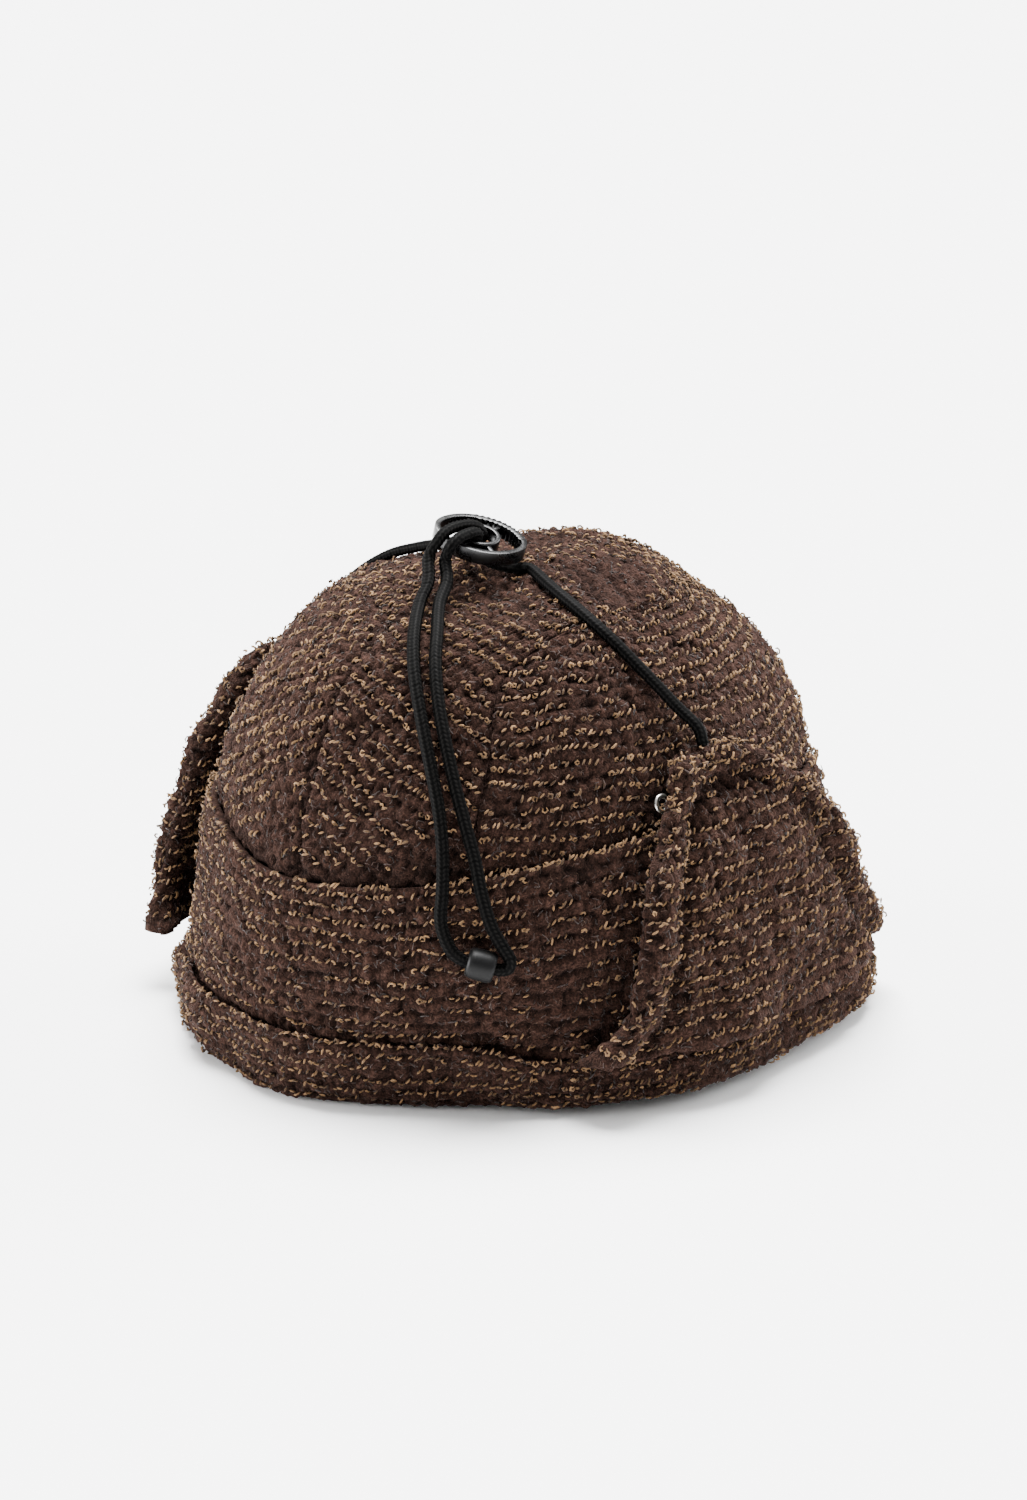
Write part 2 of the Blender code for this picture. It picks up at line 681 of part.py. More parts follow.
def build_bead():
    """A rounded bead, bored for the cord."""
    hole = 0.5 * BEAD_HOLE
    reach = 0.5 * BEAD_DIAMETER
    half = 0.5 * BEAD_LENGTH
    profile = [
        (hole, half),
        (0.84 * reach, half),
        (0.96 * reach, 0.85 * half),
        (reach, 0.45 * half),
        (reach, -0.3 * half),
        (0.95 * reach, -0.72 * half),
        (0.74 * reach, -half),
        (hole, -half),
    ]
    turned_ring("cord_bead", profile, BEAD_CENTRE, BEAD_ALONG, "matte_bead")


def build_eyelets():
    """A small metal vent ring set on each side panel, just above the band."""
    hole = 0.5 * EYELET_HOLE
    reach = 0.5 * EYELET_OUTSIDE
    profile = [
        (hole, 0.5 * EYELET_RISE),
        (0.5 * (hole + reach), EYELET_RISE),
        (reach, 0.35 * EYELET_RISE),
        (reach, 0.0),
        (hole, 0.0),
    ]
    bpy.context.view_layer.update()
    for hand, angle in (("left", EYELET_ANGLE), ("right", 180 - EYELET_ANGLE)):
        panel = hat.objects[f"crown_side_{hand}"]
        near = hat_point(angle, row_at(EYELET_HEIGHT))
        _, seat, normal, _ = panel.closest_point_on_mesh(near)
        turned_ring(f"side_eyelet_{hand}", profile, seat + normal * GAP, normal, "eyelet_metal")


clear_scene()
hat = bpy.data.collections.new("ear_flap_hat")
bpy.context.scene.collection.children.link(hat)
build_crown()
build_band()
build_cuff()
ear_flap("ear_flap_left", LEFT_EAR_FLAP, False)
ear_flap("ear_flap_right", RIGHT_EAR_FLAP, True)
build_cord()
build_lock()
build_bead()
build_eyelets()
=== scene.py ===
import math

import bpy
import numpy as np
from mathutils import Matrix, Vector


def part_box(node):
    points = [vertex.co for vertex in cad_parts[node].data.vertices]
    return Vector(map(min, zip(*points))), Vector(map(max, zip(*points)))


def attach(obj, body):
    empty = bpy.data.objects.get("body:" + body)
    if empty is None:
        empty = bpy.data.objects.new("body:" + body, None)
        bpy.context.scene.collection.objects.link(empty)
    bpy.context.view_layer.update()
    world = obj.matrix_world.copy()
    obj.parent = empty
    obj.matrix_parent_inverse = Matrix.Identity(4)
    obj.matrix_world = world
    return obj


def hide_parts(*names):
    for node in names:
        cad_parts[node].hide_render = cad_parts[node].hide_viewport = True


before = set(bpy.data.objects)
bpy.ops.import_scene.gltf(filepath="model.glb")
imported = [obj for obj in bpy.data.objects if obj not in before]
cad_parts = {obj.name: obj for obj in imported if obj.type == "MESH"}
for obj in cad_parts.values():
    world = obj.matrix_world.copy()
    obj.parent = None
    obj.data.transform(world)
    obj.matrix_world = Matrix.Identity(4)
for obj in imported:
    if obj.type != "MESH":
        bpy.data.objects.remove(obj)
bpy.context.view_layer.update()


# Camera
# The photograph looks at the hat from its brow's left, a little above. The rim's middle
# falls left of and below the middle of the frame.
look_round = math.radians(40)
look_down = math.radians(18)
look_distance = 1.25
lens = 103
sensor = 36
frame_height_pixels = 1500
pixel = look_distance * sensor / (lens * frame_height_pixels)
toward = Vector((
    math.sin(look_round) * math.cos(look_down),
    -math.cos(look_round) * math.cos(look_down),
    math.sin(look_down),
))
rightward = Vector((math.cos(look_round), math.sin(look_round), 0))
upward = toward.cross(rightward)
aim = upward * (243 * pixel) - rightward * (6.5 * pixel)
camera = bpy.data.objects.new("camera", bpy.data.cameras.new("camera"))
camera.data.lens = lens
camera.data.sensor_width = sensor
camera.location = aim + toward * look_distance
camera.rotation_euler = toward.to_track_quat("Z", "Y").to_euler()
bpy.context.scene.collection.objects.link(camera)
bpy.context.scene.camera = camera


# Tie cord
# A braided black cord of soft synthetic yarn, a little flattened, sewn into the tip of
# each flap. It runs up to the lock, down the brow through the bead and back, and over to
# the other flap.
# Points of the route, in millimetres
cord_route = np.array([
    (76.4, -12.4, 91.5), (75.2, -12.7, 95.4), (73.5, -12.7, 99.6),
    (68.4, -14.3, 104.4), (63.6, -17.2, 110.4),
    (58.2, -19.4, 115.8), (52.6, -21.2, 120.9), (46.3, -22.2, 125.3), (38.6, -21.4, 128.7),
    (30.0, -19.4, 131.3), (22.6, -16.4, 132.6), (14.3, -12.7, 133.6), (11.9, -15.2, 133.8),
    (9.5, -17.3, 134.2), (7.0, -18.9, 134.8), (4.9, -20.1, 135.7), (3.1, -21.2, 137.8),
    (2.8, -22.0, 140.1), (3.3, -22.5, 142.1), (3.8, -23.0, 143.8), (4.1, -25.0, 144.7),
    (3.9, -28.5, 144.6), (3.7, -31.7, 143.9), (3.2, -34.0, 141.9), (2.4, -35.0, 138.2),
    (5.9, -38.5, 133.7), (9.6, -46.2, 129.9), (17.0, -55.6, 125.7), (22.8, -63.0, 120.0),
    (29.0, -69.0, 111.5), (34.8, -72.9, 102.4), (40.6, -75.7, 91.8), (45.6, -77.3, 82.1),
    (49.7, -78.3, 73.5), (53.0, -79.2, 64.5), (56.2, -79.2, 56.8), (59.2, -78.4, 51.6),
    (61.2, -77.4, 47.9), (60.9, -77.8, 45.4), (58.9, -79.3, 44.9), (57.2, -80.6, 45.5),
    (55.2, -82.2, 46.2), (53.2, -83.8, 46.9), (51.5, -85.1, 47.5), (48.9, -86.5, 49.6),
    (46.5, -87.0, 53.6), (45.0, -86.8, 58.4), (44.4, -85.4, 65.6), (42.6, -83.2, 75.6),
    (39.2, -80.8, 85.8), (34.4, -78.2, 95.4), (29.0, -75.1, 104.8), (22.8, -70.7, 113.6),
    (17.6, -66.0, 119.8), (11.6, -58.8, 125.7), (4.8, -48.8, 130.0), (2.3, -42.2, 133.8),
    (-1.6, -37.3, 139.0), (-0.9, -35.3, 142.4), (-0.5, -32.3, 145.0), (-0.1, -28.7, 146.0),
    (0.7, -24.5, 146.1), (1.6, -21.1, 145.3), (2.1, -19.4, 143.6), (1.8, -18.8, 141.3),
    (0.8, -18.6, 139.2), (-1.5, -18.2, 137.5), (-5.2, -17.8, 136.4), (-8.8, -9.8, 134.6),
    (-17.0, -6.6, 133.4), (-27.0, -3.4, 131.9), (-38.2, -1.6, 128.6), (-48.8, -2.0, 124.4),
    (-58.8, -4.6, 117.2), (-66.9, -8.0, 107.2), (-73.4, -12.2, 99.7),
    (-75.2, -12.5, 95.4), (-76.4, -12.3, 91.5),
]) * 0.001
cord_width = 0.0034
cord_thickness = 0.0028
stitch_columns = 4
stitch_pitch = 0.00125
stitch_slant = 0.85
stitch_fullness = 0.98
braid_relief = 0.00044
braid_level = 0.6
braid_step = 0.00034
braid_round = 24
route_step = 0.0005
sinks_in = 0.0006
held_fade = 0.012
steady_over = 41
hat_middle = np.array([0, 0, 0.045])
bead_spot = np.array([0.0552, -0.0822, 0.0462])
bead_hold = 0.0042
bead_squeeze = 0.16
bead_swell = 0.10
arch_spot = np.array([0.0015, -0.0255, 0.1430])


def read_smooth(values, place):
    """A smooth curve through the values, read at places that need not be whole."""
    last = len(values) - 1
    place = np.clip(place, 0, last)
    step = np.minimum(place.astype(int), last - 1)
    part = place - step
    longer = np.concatenate([
        2 * values[:1] - values[1:2], values, 2 * values[-1:] - values[-2:-1],
    ])
    before, here, after, beyond = (longer[step + shift] for shift in range(4))
    if values.ndim > 1:
        part = part[:, None]
    return 0.5 * (
        2 * here
        + (after - before) * part
        + (2 * before - 5 * here + 4 * after - beyond) * part ** 2
        + (3 * here - before - 3 * after + beyond) * part ** 3
    )


def unit(vectors):
    return vectors / np.maximum(np.linalg.norm(vectors, axis=-1, keepdims=True), 1e-12)


def mesh_of(name, points, faces):
    """A smooth-shaded mesh from a list of points and of faces."""
    mesh = bpy.data.meshes.new(name)
    loops = np.concatenate([np.asarray(group).ravel() for group in faces])
    sizes = np.concatenate([np.full(len(group), np.shape(group)[1]) for group in faces])
    mesh.vertices.add(len(points))
    mesh.vertices.foreach_set("co", np.asarray(points, dtype=np.float32).ravel())
    mesh.loops.add(len(loops))
    mesh.loops.foreach_set("vertex_index", loops.astype(np.int32))
    mesh.polygons.add(len(sizes))
    starts = np.concatenate([[0], np.cumsum(sizes)[:-1]])
    mesh.polygons.foreach_set("loop_start", starts.astype(np.int32))
    mesh.polygons.foreach_set("use_smooth", np.ones(len(sizes), dtype=bool))
    mesh.update(calc_edges=True)
    mesh.validate()
    return mesh


def put(name, mesh, finish, stands_for=()):
    """A finished piece that rides on the hat."""
    piece = bpy.data.objects.new(name, mesh)
    bpy.context.scene.collection.objects.link(piece)
    piece.data.materials.append(finish)
    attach(piece, "root")
    if stands_for:
        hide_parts(*stands_for)
    return piece


def new_finish(name, colour, roughness):
    """A Principled material and its node tree."""
    finish = bpy.data.materials.new(name)
    finish.use_nodes = True
    shader = finish.node_tree.nodes["Principled BSDF"]
    shader.inputs["Base Color"].default_value = (*colour, 1)
    shader.inputs["Roughness"].default_value = roughness
    return finish, finish.node_tree, shader


def grain(tree, scale, detail=2):
    """Fine noise on the piece's own coordinates."""
    noise = tree.nodes.new("ShaderNodeTexNoise")
    noise.inputs["Scale"].default_value = scale
    noise.inputs["Detail"].default_value = detail
    place = tree.nodes.new("ShaderNodeTexCoord")
    tree.links.new(place.outputs["Object"], noise.inputs["Vector"])
    return noise.outputs["Fac"]


def ranged(tree, value, low, high, from_low=0, from_high=1):
    """The value brought from one range to another."""
    change = tree.nodes.new("ShaderNodeMapRange")
    change.inputs["From Min"].default_value = from_low
    change.inputs["From Max"].default_value = from_high
    change.inputs["To Min"].default_value = low
    change.inputs["To Max"].default_value = high
    tree.links.new(value, change.inputs["Value"])
    return change.outputs["Result"]


def roughen(tree, shader, value, strength, distance):
    """Fine bumps that stand up where the value is high."""
    bump = tree.nodes.new("ShaderNodeBump")
    bump.inputs["Strength"].default_value = strength
    bump.inputs["Distance"].default_value = distance
    tree.links.new(value, bump.inputs["Height"])
    tree.links.new(bump.outputs["Normal"], shader.inputs["Normal"])


def along_curve(points, spacing):
    """Points at an even spacing on the smooth curve through the ones given."""
    dense = read_smooth(points, np.linspace(0, len(points) - 1, 40 * len(points)))
    travelled = np.concatenate([[0], np.cumsum(np.linalg.norm(np.diff(dense, axis=0), axis=1))])
    count = round(travelled[-1] / spacing)
    wanted = np.linspace(0, travelled[-1], count + 1)
    return np.stack([np.interp(wanted, travelled, column) for column in dense.T], -1)


# Away from its ends, the bead and the lock the cord sinks a little into the nap
cord_path = along_curve(cord_route, route_step)
settled = sinks_in * np.ones(len(cord_path))
for spot, clear in (
        (cord_path[0], 0.006), (cord_path[-1], 0.006), (bead_spot, 0.012), (arch_spot, 0.016)):
    settled *= np.clip((np.linalg.norm(cord_path - spot, axis=1) - clear) / held_fade, 0, 1)
cord_path = cord_path - unit(cord_path - hat_middle) * settled[:, None]
cord_path = along_curve(cord_path, braid_step)
cord_along = unit(np.gradient(cord_path, axis=0))
cord_out = unit(cord_path - hat_middle)
blur = np.hanning(steady_over) / np.hanning(steady_over).sum()
cord_out = np.stack([
    np.convolve(np.pad(column, steady_over // 2, mode="edge"), blur, mode="valid")
    for column in cord_out.T
], -1)
cord_out = unit(cord_out - cord_along * (cord_out * cord_along).sum(-1, keepdims=True))
cord_across = np.cross(cord_along, cord_out)

# The stitches lie in columns of small arrowheads along the cord
turn = np.linspace(0, 2 * np.pi, braid_round, endpoint=False)
travelled = np.arange(len(cord_path)) * braid_step
column_place = (turn / (2 * np.pi) - 0.25) * stitch_columns % 1
from_centre = 2 * np.abs(column_place - np.round(column_place))
stitch = travelled[:, None] / stitch_pitch - stitch_slant * from_centre[None]
ridge = np.sqrt(1 - (2 * (stitch % 1) - 1) ** 2 * stitch_fullness)
bulge = np.sqrt(1 - (2 * from_centre - 1) ** 2 * stitch_fullness)
relief = ridge * (0.35 + 0.65 * bulge[None]) - braid_level
in_bead = np.exp(-(np.linalg.norm(cord_path - bead_spot, axis=1) / bead_hold) ** 4)
half_width = (0.5 * cord_width * (1 - bead_squeeze * in_bead))[:, None]
half_thick = (0.5 * cord_thickness * (1 + bead_swell * in_bead))[:, None]
cord_points = (
    cord_path[:, None]
    + cord_across[:, None] * ((half_width + braid_relief * relief) * np.cos(turn))[..., None]
    + cord_out[:, None] * ((half_thick + braid_relief * relief) * np.sin(turn))[..., None]
)


def grid_faces(rows, columns, closed):
    """Quads of a grid of points, joined end to start along each row where it is closed."""
    index = np.arange(rows * columns).reshape(rows, columns)
    if closed:
        index = np.concatenate([index, index[:, :1]], 1)
    return np.stack([
        index[:-1, :-1], index[:-1, 1:], index[1:, 1:], index[1:, :-1],
    ], -1).reshape(-1, 4)


cord_faces = grid_faces(len(cord_path), braid_round, True)
end_index = (len(cord_path) - 1) * braid_round
caps = np.array([
    np.arange(braid_round)[::-1], end_index + np.arange(braid_round),
])
braid_finish, tree, shader = new_finish("black_braid", (0.010, 0.010, 0.011), 0.5)
shader.inputs["Specular IOR Level"].default_value = 0.03
# The base colour is painted: painted shade in the braid's creases and a painted highlight on each
# stitch's top, both read from the strand height.
strand = tree.nodes.new("ShaderNodeAttribute")
strand.attribute_name = "strand_height"
braid_shade_and_highlight = tree.nodes.new("ShaderNodeValToRGB")
braid_shade_and_highlight.color_ramp.elements[0].position = 0.58
braid_shade_and_highlight.color_ramp.elements[0].color = (0.0002, 0.0002, 0.0002, 1)
braid_shade_and_highlight.color_ramp.elements[1].position = 1.0
braid_shade_and_highlight.color_ramp.elements[1].color = (0.0064, 0.0060, 0.0056, 1)
tree.links.new(strand.outputs["Fac"], braid_shade_and_highlight.inputs["Fac"])
tree.links.new(braid_shade_and_highlight.outputs["Color"], shader.inputs["Base Color"])
fibre = grain(tree, 2600, 3)
roughen(tree, shader, fibre, 0.4, 0.0002)
tree.links.new(ranged(tree, fibre, 0.45, 0.75), shader.inputs["Roughness"])
cord_mesh = mesh_of("tie_cord_braid", cord_points.reshape(-1, 3), [cord_faces, caps])
strand_layer = cord_mesh.attributes.new("strand_height", "FLOAT", "POINT")
strand_layer.data.foreach_set("value", (relief.ravel() + braid_level).astype(np.float32))
tie_cord = put("tie_cord_braid", cord_mesh, braid_finish, ["tie_cord"])


# Cord lock
# One glossy black moulding. A springy oval hoop with a ribbed far side carries a ring in
# its middle on thin arms, and both runs of the cord are pulled up through the ring.
lock_middle = Vector((0.0025, -0.0205, 0.1414))
lock_bore = Vector((0.326, -0.073, 0.942)).normalized()
lock_along = Vector((0.791, 0.567, -0.230)).normalized()
lock_across = lock_bore.cross(lock_along).normalized()
lock_along = lock_across.cross(lock_bore)
lock_place = Matrix.Translation(lock_middle) @ Matrix(
    (lock_along, lock_across, lock_bore)).transposed().to_4x4()
hoop_length = 0.0262
hoop_width = 0.0196
hoop_wall = 0.0015
hoop_steps = 96
rib_height = 0.00028
ring_reach = 0.0056
ring_wall = 0.0014
arm_width = 0.0013
arm_from = 0.0049
arm_to = 0.0088
lock_depth = 0.0040
plastic_finish, tree, shader = new_finish("black_moulding", (0.0012, 0.0012, 0.0013), 0.28)
shader.inputs["Specular IOR Level"].default_value = 0.32
scuffs = ranged(tree, grain(tree, 260, 4), 0.22, 0.38, 0.35, 0.75)
tree.links.new(scuffs, shader.inputs["Roughness"])


def start_piece(add, **sizes):
    """A fresh primitive, alone in the selection."""
    bpy.ops.object.select_all(action="DESELECT")
    add(**sizes)
    return bpy.context.object


def finish_modifier(piece, kind, **settings):
    """Adds a modifier with its settings and applies it."""
    step = piece.modifiers.new(kind.lower(), kind)
    for key, value in settings.items():
        setattr(step, key, value)
    bpy.ops.object.select_all(action="DESELECT")
    piece.select_set(True)
    bpy.context.view_layer.objects.active = piece
    bpy.ops.object.modifier_apply(modifier=step.name)


hoop = start_piece(
    bpy.ops.mesh.primitive_circle_add, vertices=hoop_steps, radius=1, fill_type="NOTHING")
for corner in hoop.data.vertices:
    swing = math.atan2(corner.co.y, corner.co.x)
    rib = 0.0
    if math.radians(18) < swing < math.radians(104):
        rib = rib_height * (1 if round(swing / (2 * math.pi) * hoop_steps) % 2 else -1)
    pinch = 1 - 0.12 * abs(math.cos(swing)) ** 3
    corner.co.x = (0.5 * hoop_length + rib) * math.cos(swing)
    corner.co.y = (0.5 * hoop_width * pinch + rib) * math.sin(swing)
    corner.co.z = -0.5 * lock_depth
bpy.ops.object.mode_set(mode="EDIT")
bpy.ops.mesh.select_all(action="SELECT")
bpy.ops.mesh.extrude_region_move(TRANSFORM_OT_translate={"value": (0, 0, lock_depth)})
bpy.ops.mesh.select_all(action="SELECT")
bpy.ops.mesh.normals_make_consistent(inside=False)
bpy.ops.object.mode_set(mode="OBJECT")
finish_modifier(hoop, "SOLIDIFY", thickness=hoop_wall, offset=-1, use_even_offset=True)
finish_modifier(hoop, "BEVEL", width=0.00035, segments=2, limit_method="ANGLE",
                angle_limit=math.radians(50))
ring = start_piece(
    bpy.ops.mesh.primitive_circle_add, vertices=48, radius=ring_reach, fill_type="NOTHING",
    location=(0, 0, -0.5 * lock_depth))
bpy.ops.object.mode_set(mode="EDIT")
bpy.ops.mesh.select_all(action="SELECT")
bpy.ops.mesh.extrude_region_move(TRANSFORM_OT_translate={"value": (0, 0, lock_depth)})
bpy.ops.mesh.select_all(action="SELECT")
bpy.ops.mesh.normals_make_consistent(inside=False)
bpy.ops.object.mode_set(mode="OBJECT")
bpy.ops.object.transform_apply(location=True, rotation=False, scale=False)
finish_modifier(ring, "SOLIDIFY", thickness=ring_wall, offset=-1, use_even_offset=True)
finish_modifier(ring, "BEVEL", width=0.0004, segments=3, limit_method="ANGLE",
                angle_limit=math.radians(50))
lock_parts = [hoop, ring]
for degrees in (58, 122, 238, 302):
    arm = start_piece(
        bpy.ops.mesh.primitive_cube_add, size=1, location=(0.5 * (arm_from + arm_to), 0, 0))
    bpy.ops.transform.resize(value=(arm_to - arm_from, arm_width, 0.75 * lock_depth))
    bpy.ops.object.transform_apply(location=True, rotation=False, scale=True)
    finish_modifier(arm, "BEVEL", width=0.0003, segments=2)
    arm.data.transform(Matrix.Rotation(math.radians(degrees), 4, "Z"))
    lock_parts.append(arm)
bpy.ops.object.select_all(action="DESELECT")
for part in lock_parts:
    part.select_set(True)
bpy.context.view_layer.objects.active = hoop
bpy.ops.object.join()
hoop.name = "cord_lock_moulding"
hoop.data.transform(lock_place)
hoop.data.shade_smooth()
bpy.ops.object.shade_smooth_by_angle(angle=math.radians(35))
hoop.data.materials.clear()
hoop.data.materials.append(plastic_finish)
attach(hoop, "root")
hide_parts("cord_lock")


# Cord bead
# A small satin black bead with softly rounded ends and a bore. The cord's bight passes
# through it, which keeps the two tails side by side.
bead_bore = Vector((0.76, 0.59, -0.27)).normalized()
bead_reach = 0.0043
bead_length = 0.0076
bead_hole = 0.0021
bead = start_piece(
    bpy.ops.mesh.primitive_circle_add, vertices=40, radius=bead_hole, fill_type="NOTHING",
    location=(0, 0, -0.5 * bead_length))
bpy.ops.object.mode_set(mode="EDIT")
bpy.ops.mesh.select_all(action="SELECT")
bead_reaches = [
    (0.60 * bead_reach, -0.50), (0.80 * bead_reach, -0.485), (0.93 * bead_reach, -0.40),
    (0.985 * bead_reach, -0.26), (bead_reach, -0.05), (bead_reach, 0.20),
    (0.985 * bead_reach, 0.36), (0.93 * bead_reach, 0.455), (0.84 * bead_reach, 0.495),
    (0.60 * bead_reach, 0.50), (bead_hole, 0.47), (bead_hole, -0.47),
]
reach_before = bead_hole
height_before = -0.5
for reach_here, height_here in bead_reaches:
    rise = (height_here - height_before) * bead_length
    bpy.ops.mesh.extrude_region_move(TRANSFORM_OT_translate={"value": (0, 0, rise)})
    scale = reach_here / reach_before
    bpy.ops.transform.resize(value=(scale, scale, 1))
    reach_before = reach_here
    height_before = height_here
bpy.ops.mesh.select_all(action="SELECT")
bpy.ops.mesh.remove_doubles(threshold=0.00024)
bpy.ops.mesh.normals_make_consistent(inside=False)
bpy.ops.object.mode_set(mode="OBJECT")
bpy.ops.object.transform_apply(location=True, rotation=True, scale=True)
bead_turn = bead_bore.to_track_quat("Z", "Y").to_matrix().to_4x4()
bead.data.transform(Matrix.Translation(Vector(bead_spot)) @ bead_turn)
bead.data.shade_smooth()
bead.name = "cord_bead_turned"
bead_finish, tree, shader = new_finish("satin_black_bead", (0.0020, 0.0020, 0.0021), 0.46)
shader.inputs["Specular IOR Level"].default_value = 0.12
roughen(tree, shader, grain(tree, 1500, 4), 0.12, 0.0001)
bead.data.materials.clear()
bead.data.materials.append(bead_finish)
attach(bead, "root")
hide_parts("cord_bead")


# Band
# The straight wall of the hat, one strip of looped knit. Its courses run round the head
# and spread toward the ears, where the band is taller. Every seam between courses holds
# a line of tan loops, and the brown yarn between them is brushed.
crown_height = 0.1325
band_half_width = 0.0905
band_half_length = 0.1045
back_lift = 0.004
end_ridge = 0.0022
crown_cloth = 0.0030
band_cloth = 0.0034
brow_seam_height = 0.062
ear_seam_height = 0.0755
cuff_cloth = 0.0036
cuff_turn = 0.0032
cuff_height = 0.0205
cuff_height_at_flap = 0.0165
gap = 0.0003
# The profile's rows, as shares of the hat's height and of its reach to each side
section_height = np.array([
    0.000, 0.110, 0.230, 0.370, 0.500, 0.630, 0.740, 0.830, 0.900, 0.950, 0.979, 0.994, 1.000,
])
section_side = np.array([
    0.988, 1.000, 0.973, 0.932, 0.892, 0.838, 0.768, 0.687, 0.595, 0.492, 0.370, 0.210, 0.000,
])
section_front = np.array([
    0.988, 1.000, 0.975, 0.940, 0.908, 0.857, 0.795, 0.728, 0.648, 0.550, 0.420, 0.245, 0.000,
])
section_back = np.array([
    0.988, 1.000, 0.970, 0.922, 0.876, 0.818, 0.742, 0.650, 0.550, 0.440, 0.325, 0.190, 0.000,
])
top_row = len(section_height) - 1
mean_reach = 0.5 * (band_half_width + band_half_length)
# Each dent's angle, its row, how far it reaches round and up, and its depth
hat_dents = [
    (168, 9.5, 30, 1.3, 0.0030),
    (42, 8.7, 24, 1.1, 0.0030),
    (2, 9.6, 16, 0.9, 0.0012),
    (35, 0.5, 24, 2.2, -0.0036),
    (145, 0.5, 24, 2.2, -0.0036),
    (-118, 0.0, 18, 2.5, 0.0022),
    (-62, 0.0, 18, 2.5, 0.0022),
    (-68, 0.0, 36, 1.8, 0.0105),
]
course_pitch = 0.0039
loop_pitch = 0.0020
edge_pitch = 0.00125
tuft_pitch = 0.0023
tuft_rise = 0.0018
valley_depth = 0.0020
coarser = 4


def read_rows(values, row):
    return read_smooth(values, np.ravel(row)).reshape(np.shape(row))


def hat_surface(angle, row):
    """The hat's outside at an angle round the head and a row of its profile."""
    angle, row = np.broadcast_arrays(np.asarray(angle, float), np.asarray(row, float))
    side = read_rows(section_side, row)
    height = read_rows(section_height, row)
    across = np.cos(np.radians(angle))
    along = np.sin(np.radians(angle))
    reach = np.where(along < 0, read_rows(section_front, row), read_rows(section_back, row))
    ridge = end_ridge * np.exp((np.abs(along) - 1) / 0.03) * np.clip(1.4 * side - 0.3, 0, 1)
    y = band_half_length * reach * along + np.sign(along) * ridge
    points = np.stack([
        band_half_width * side * across,
        y,
        crown_height * height + back_lift * y / band_half_length * height ** 6,
    ], -1)
    depth = 0
    for dent_angle, dent_row, angle_reach, row_reach, dent in hat_dents:
        turned = (angle - dent_angle + 180) % 360 - 180
        away = (turned / angle_reach) ** 2 + ((row - dent_row) / row_reach) ** 2
        depth = depth + dent * np.exp(-away)
    depth = depth + 0.0008 * lumps(points, 0.030, 41)
    inward = points.copy()
    inward[..., 2] -= np.minimum(points[..., 2], 0.4 * crown_height)
    return points - unit(inward) * np.asarray(depth)[..., None]


def hat_outward(angle, row):
    """The outward direction there."""
    angle, row = np.broadcast_arrays(np.asarray(angle, float), np.asarray(row, float))
    row = np.minimum(row, top_row - 0.06)
    round_it = hat_surface(angle + 0.5, row) - hat_surface(angle - 0.5, row)
    up_it = hat_surface(angle, row + 0.05) - hat_surface(angle, row - 0.05)
    return unit(np.cross(round_it, up_it))


fine_rows = np.linspace(0, top_row, 2401)
fine_heights = read_rows(section_height, fine_rows) * crown_height


def row_at(height):
    return np.interp(height, fine_heights, fine_rows)


def seam_row(angle):
    share = np.cos(np.radians(angle)) ** 2
    return row_at(brow_seam_height + (ear_seam_height - brow_seam_height) * share)


def smooth_step(value):
    value = np.clip(value, 0, 1)
    return value * value * (3 - 2 * value)


def cuff_top(angle):
    from_ear = np.minimum(
        np.abs((angle + 180) % 360 - 180), np.abs(angle % 360 - 180))
    turned = (angle + 90) % 360
    to_brow = np.minimum(turned, 360 - turned)
    span = np.where(to_brow > 90, 57, 42)
    share = smooth_step((from_ear - span) / 12)
    return cuff_height_at_flap + (cuff_height - cuff_height_at_flap) * share


def rim_lift(angle):
    """The rim stands a little off the floor behind the left ear."""
    turned = (np.asarray(angle, float) - 12 + 180) % 360 - 180
    return 0.0036 * np.exp(-(turned / 55) ** 2)


def lumps(points, size, seed):
    """Smooth unevenness with swells about as wide as size, of about unit height."""
    chance = np.random.default_rng(seed)
    total = 0
    waves = 9
    for _ in range(waves):
        way = unit(chance.normal(size=3)) * 2 * np.pi / (size * chance.uniform(1.2, 2.6))
        total = total + np.sin(points @ way + chance.uniform(0, 2 * np.pi))
    return total * math.sqrt(2 / waves)


def wavering(course, points, seed):
    """Courses are never quite straight."""
    return course + 0.10 * lumps(points, 0.014, seed) + 0.03 * lumps(points, 0.005, seed + 1)


def tuft_height(course, along, seed):
    """How far each point lies up the brushed tufts, which follow each other along every
    course like pebbles: 0 between them and 1 on top."""
    chance = np.random.default_rng(seed)
    courses, places = 256, 2048
    shift_along = chance.uniform(-0.32, 0.32, (courses, places))
    shift_course = chance.uniform(-0.12, 0.12, (courses, places))
    size = chance.uniform(0.80, 1.20, (courses, places))
    phase = chance.random(courses)
    which = np.floor(course).astype(int)
    number = along / tuft_pitch + phase[which % courses]
    nearest = np.floor(number).astype(int)
    height = np.zeros_like(course)
    for other in (-1, 0, 1, 2):
        spot = (which % courses, (nearest + other) % places)
        from_along = number - (nearest + other + shift_along[spot])
        from_course = course - which - 0.5 - shift_course[spot]
        away = (from_along / (0.78 * size[spot])) ** 2 + (from_course / (0.56 * size[spot])) ** 2
        height = np.maximum(height, size[spot] * np.sqrt(np.clip(1 - away, 0, 1)))
    return height


def knit_relief(points, outward, course, along, seed, share=1.0):
    """The knit's outside: the tufts, fine nap on them, and how high each point lies."""
    height = tuft_height(course, along, seed)
    nap = 0.12 * lumps(points, 0.0019, seed + 2) + 0.10 * lumps(points, 0.0011, seed + 3)
    height = np.clip(height + nap, 0, 1.3)
    out_by = (tuft_rise * height - valley_depth) * share
    return points + outward * out_by[..., None], height


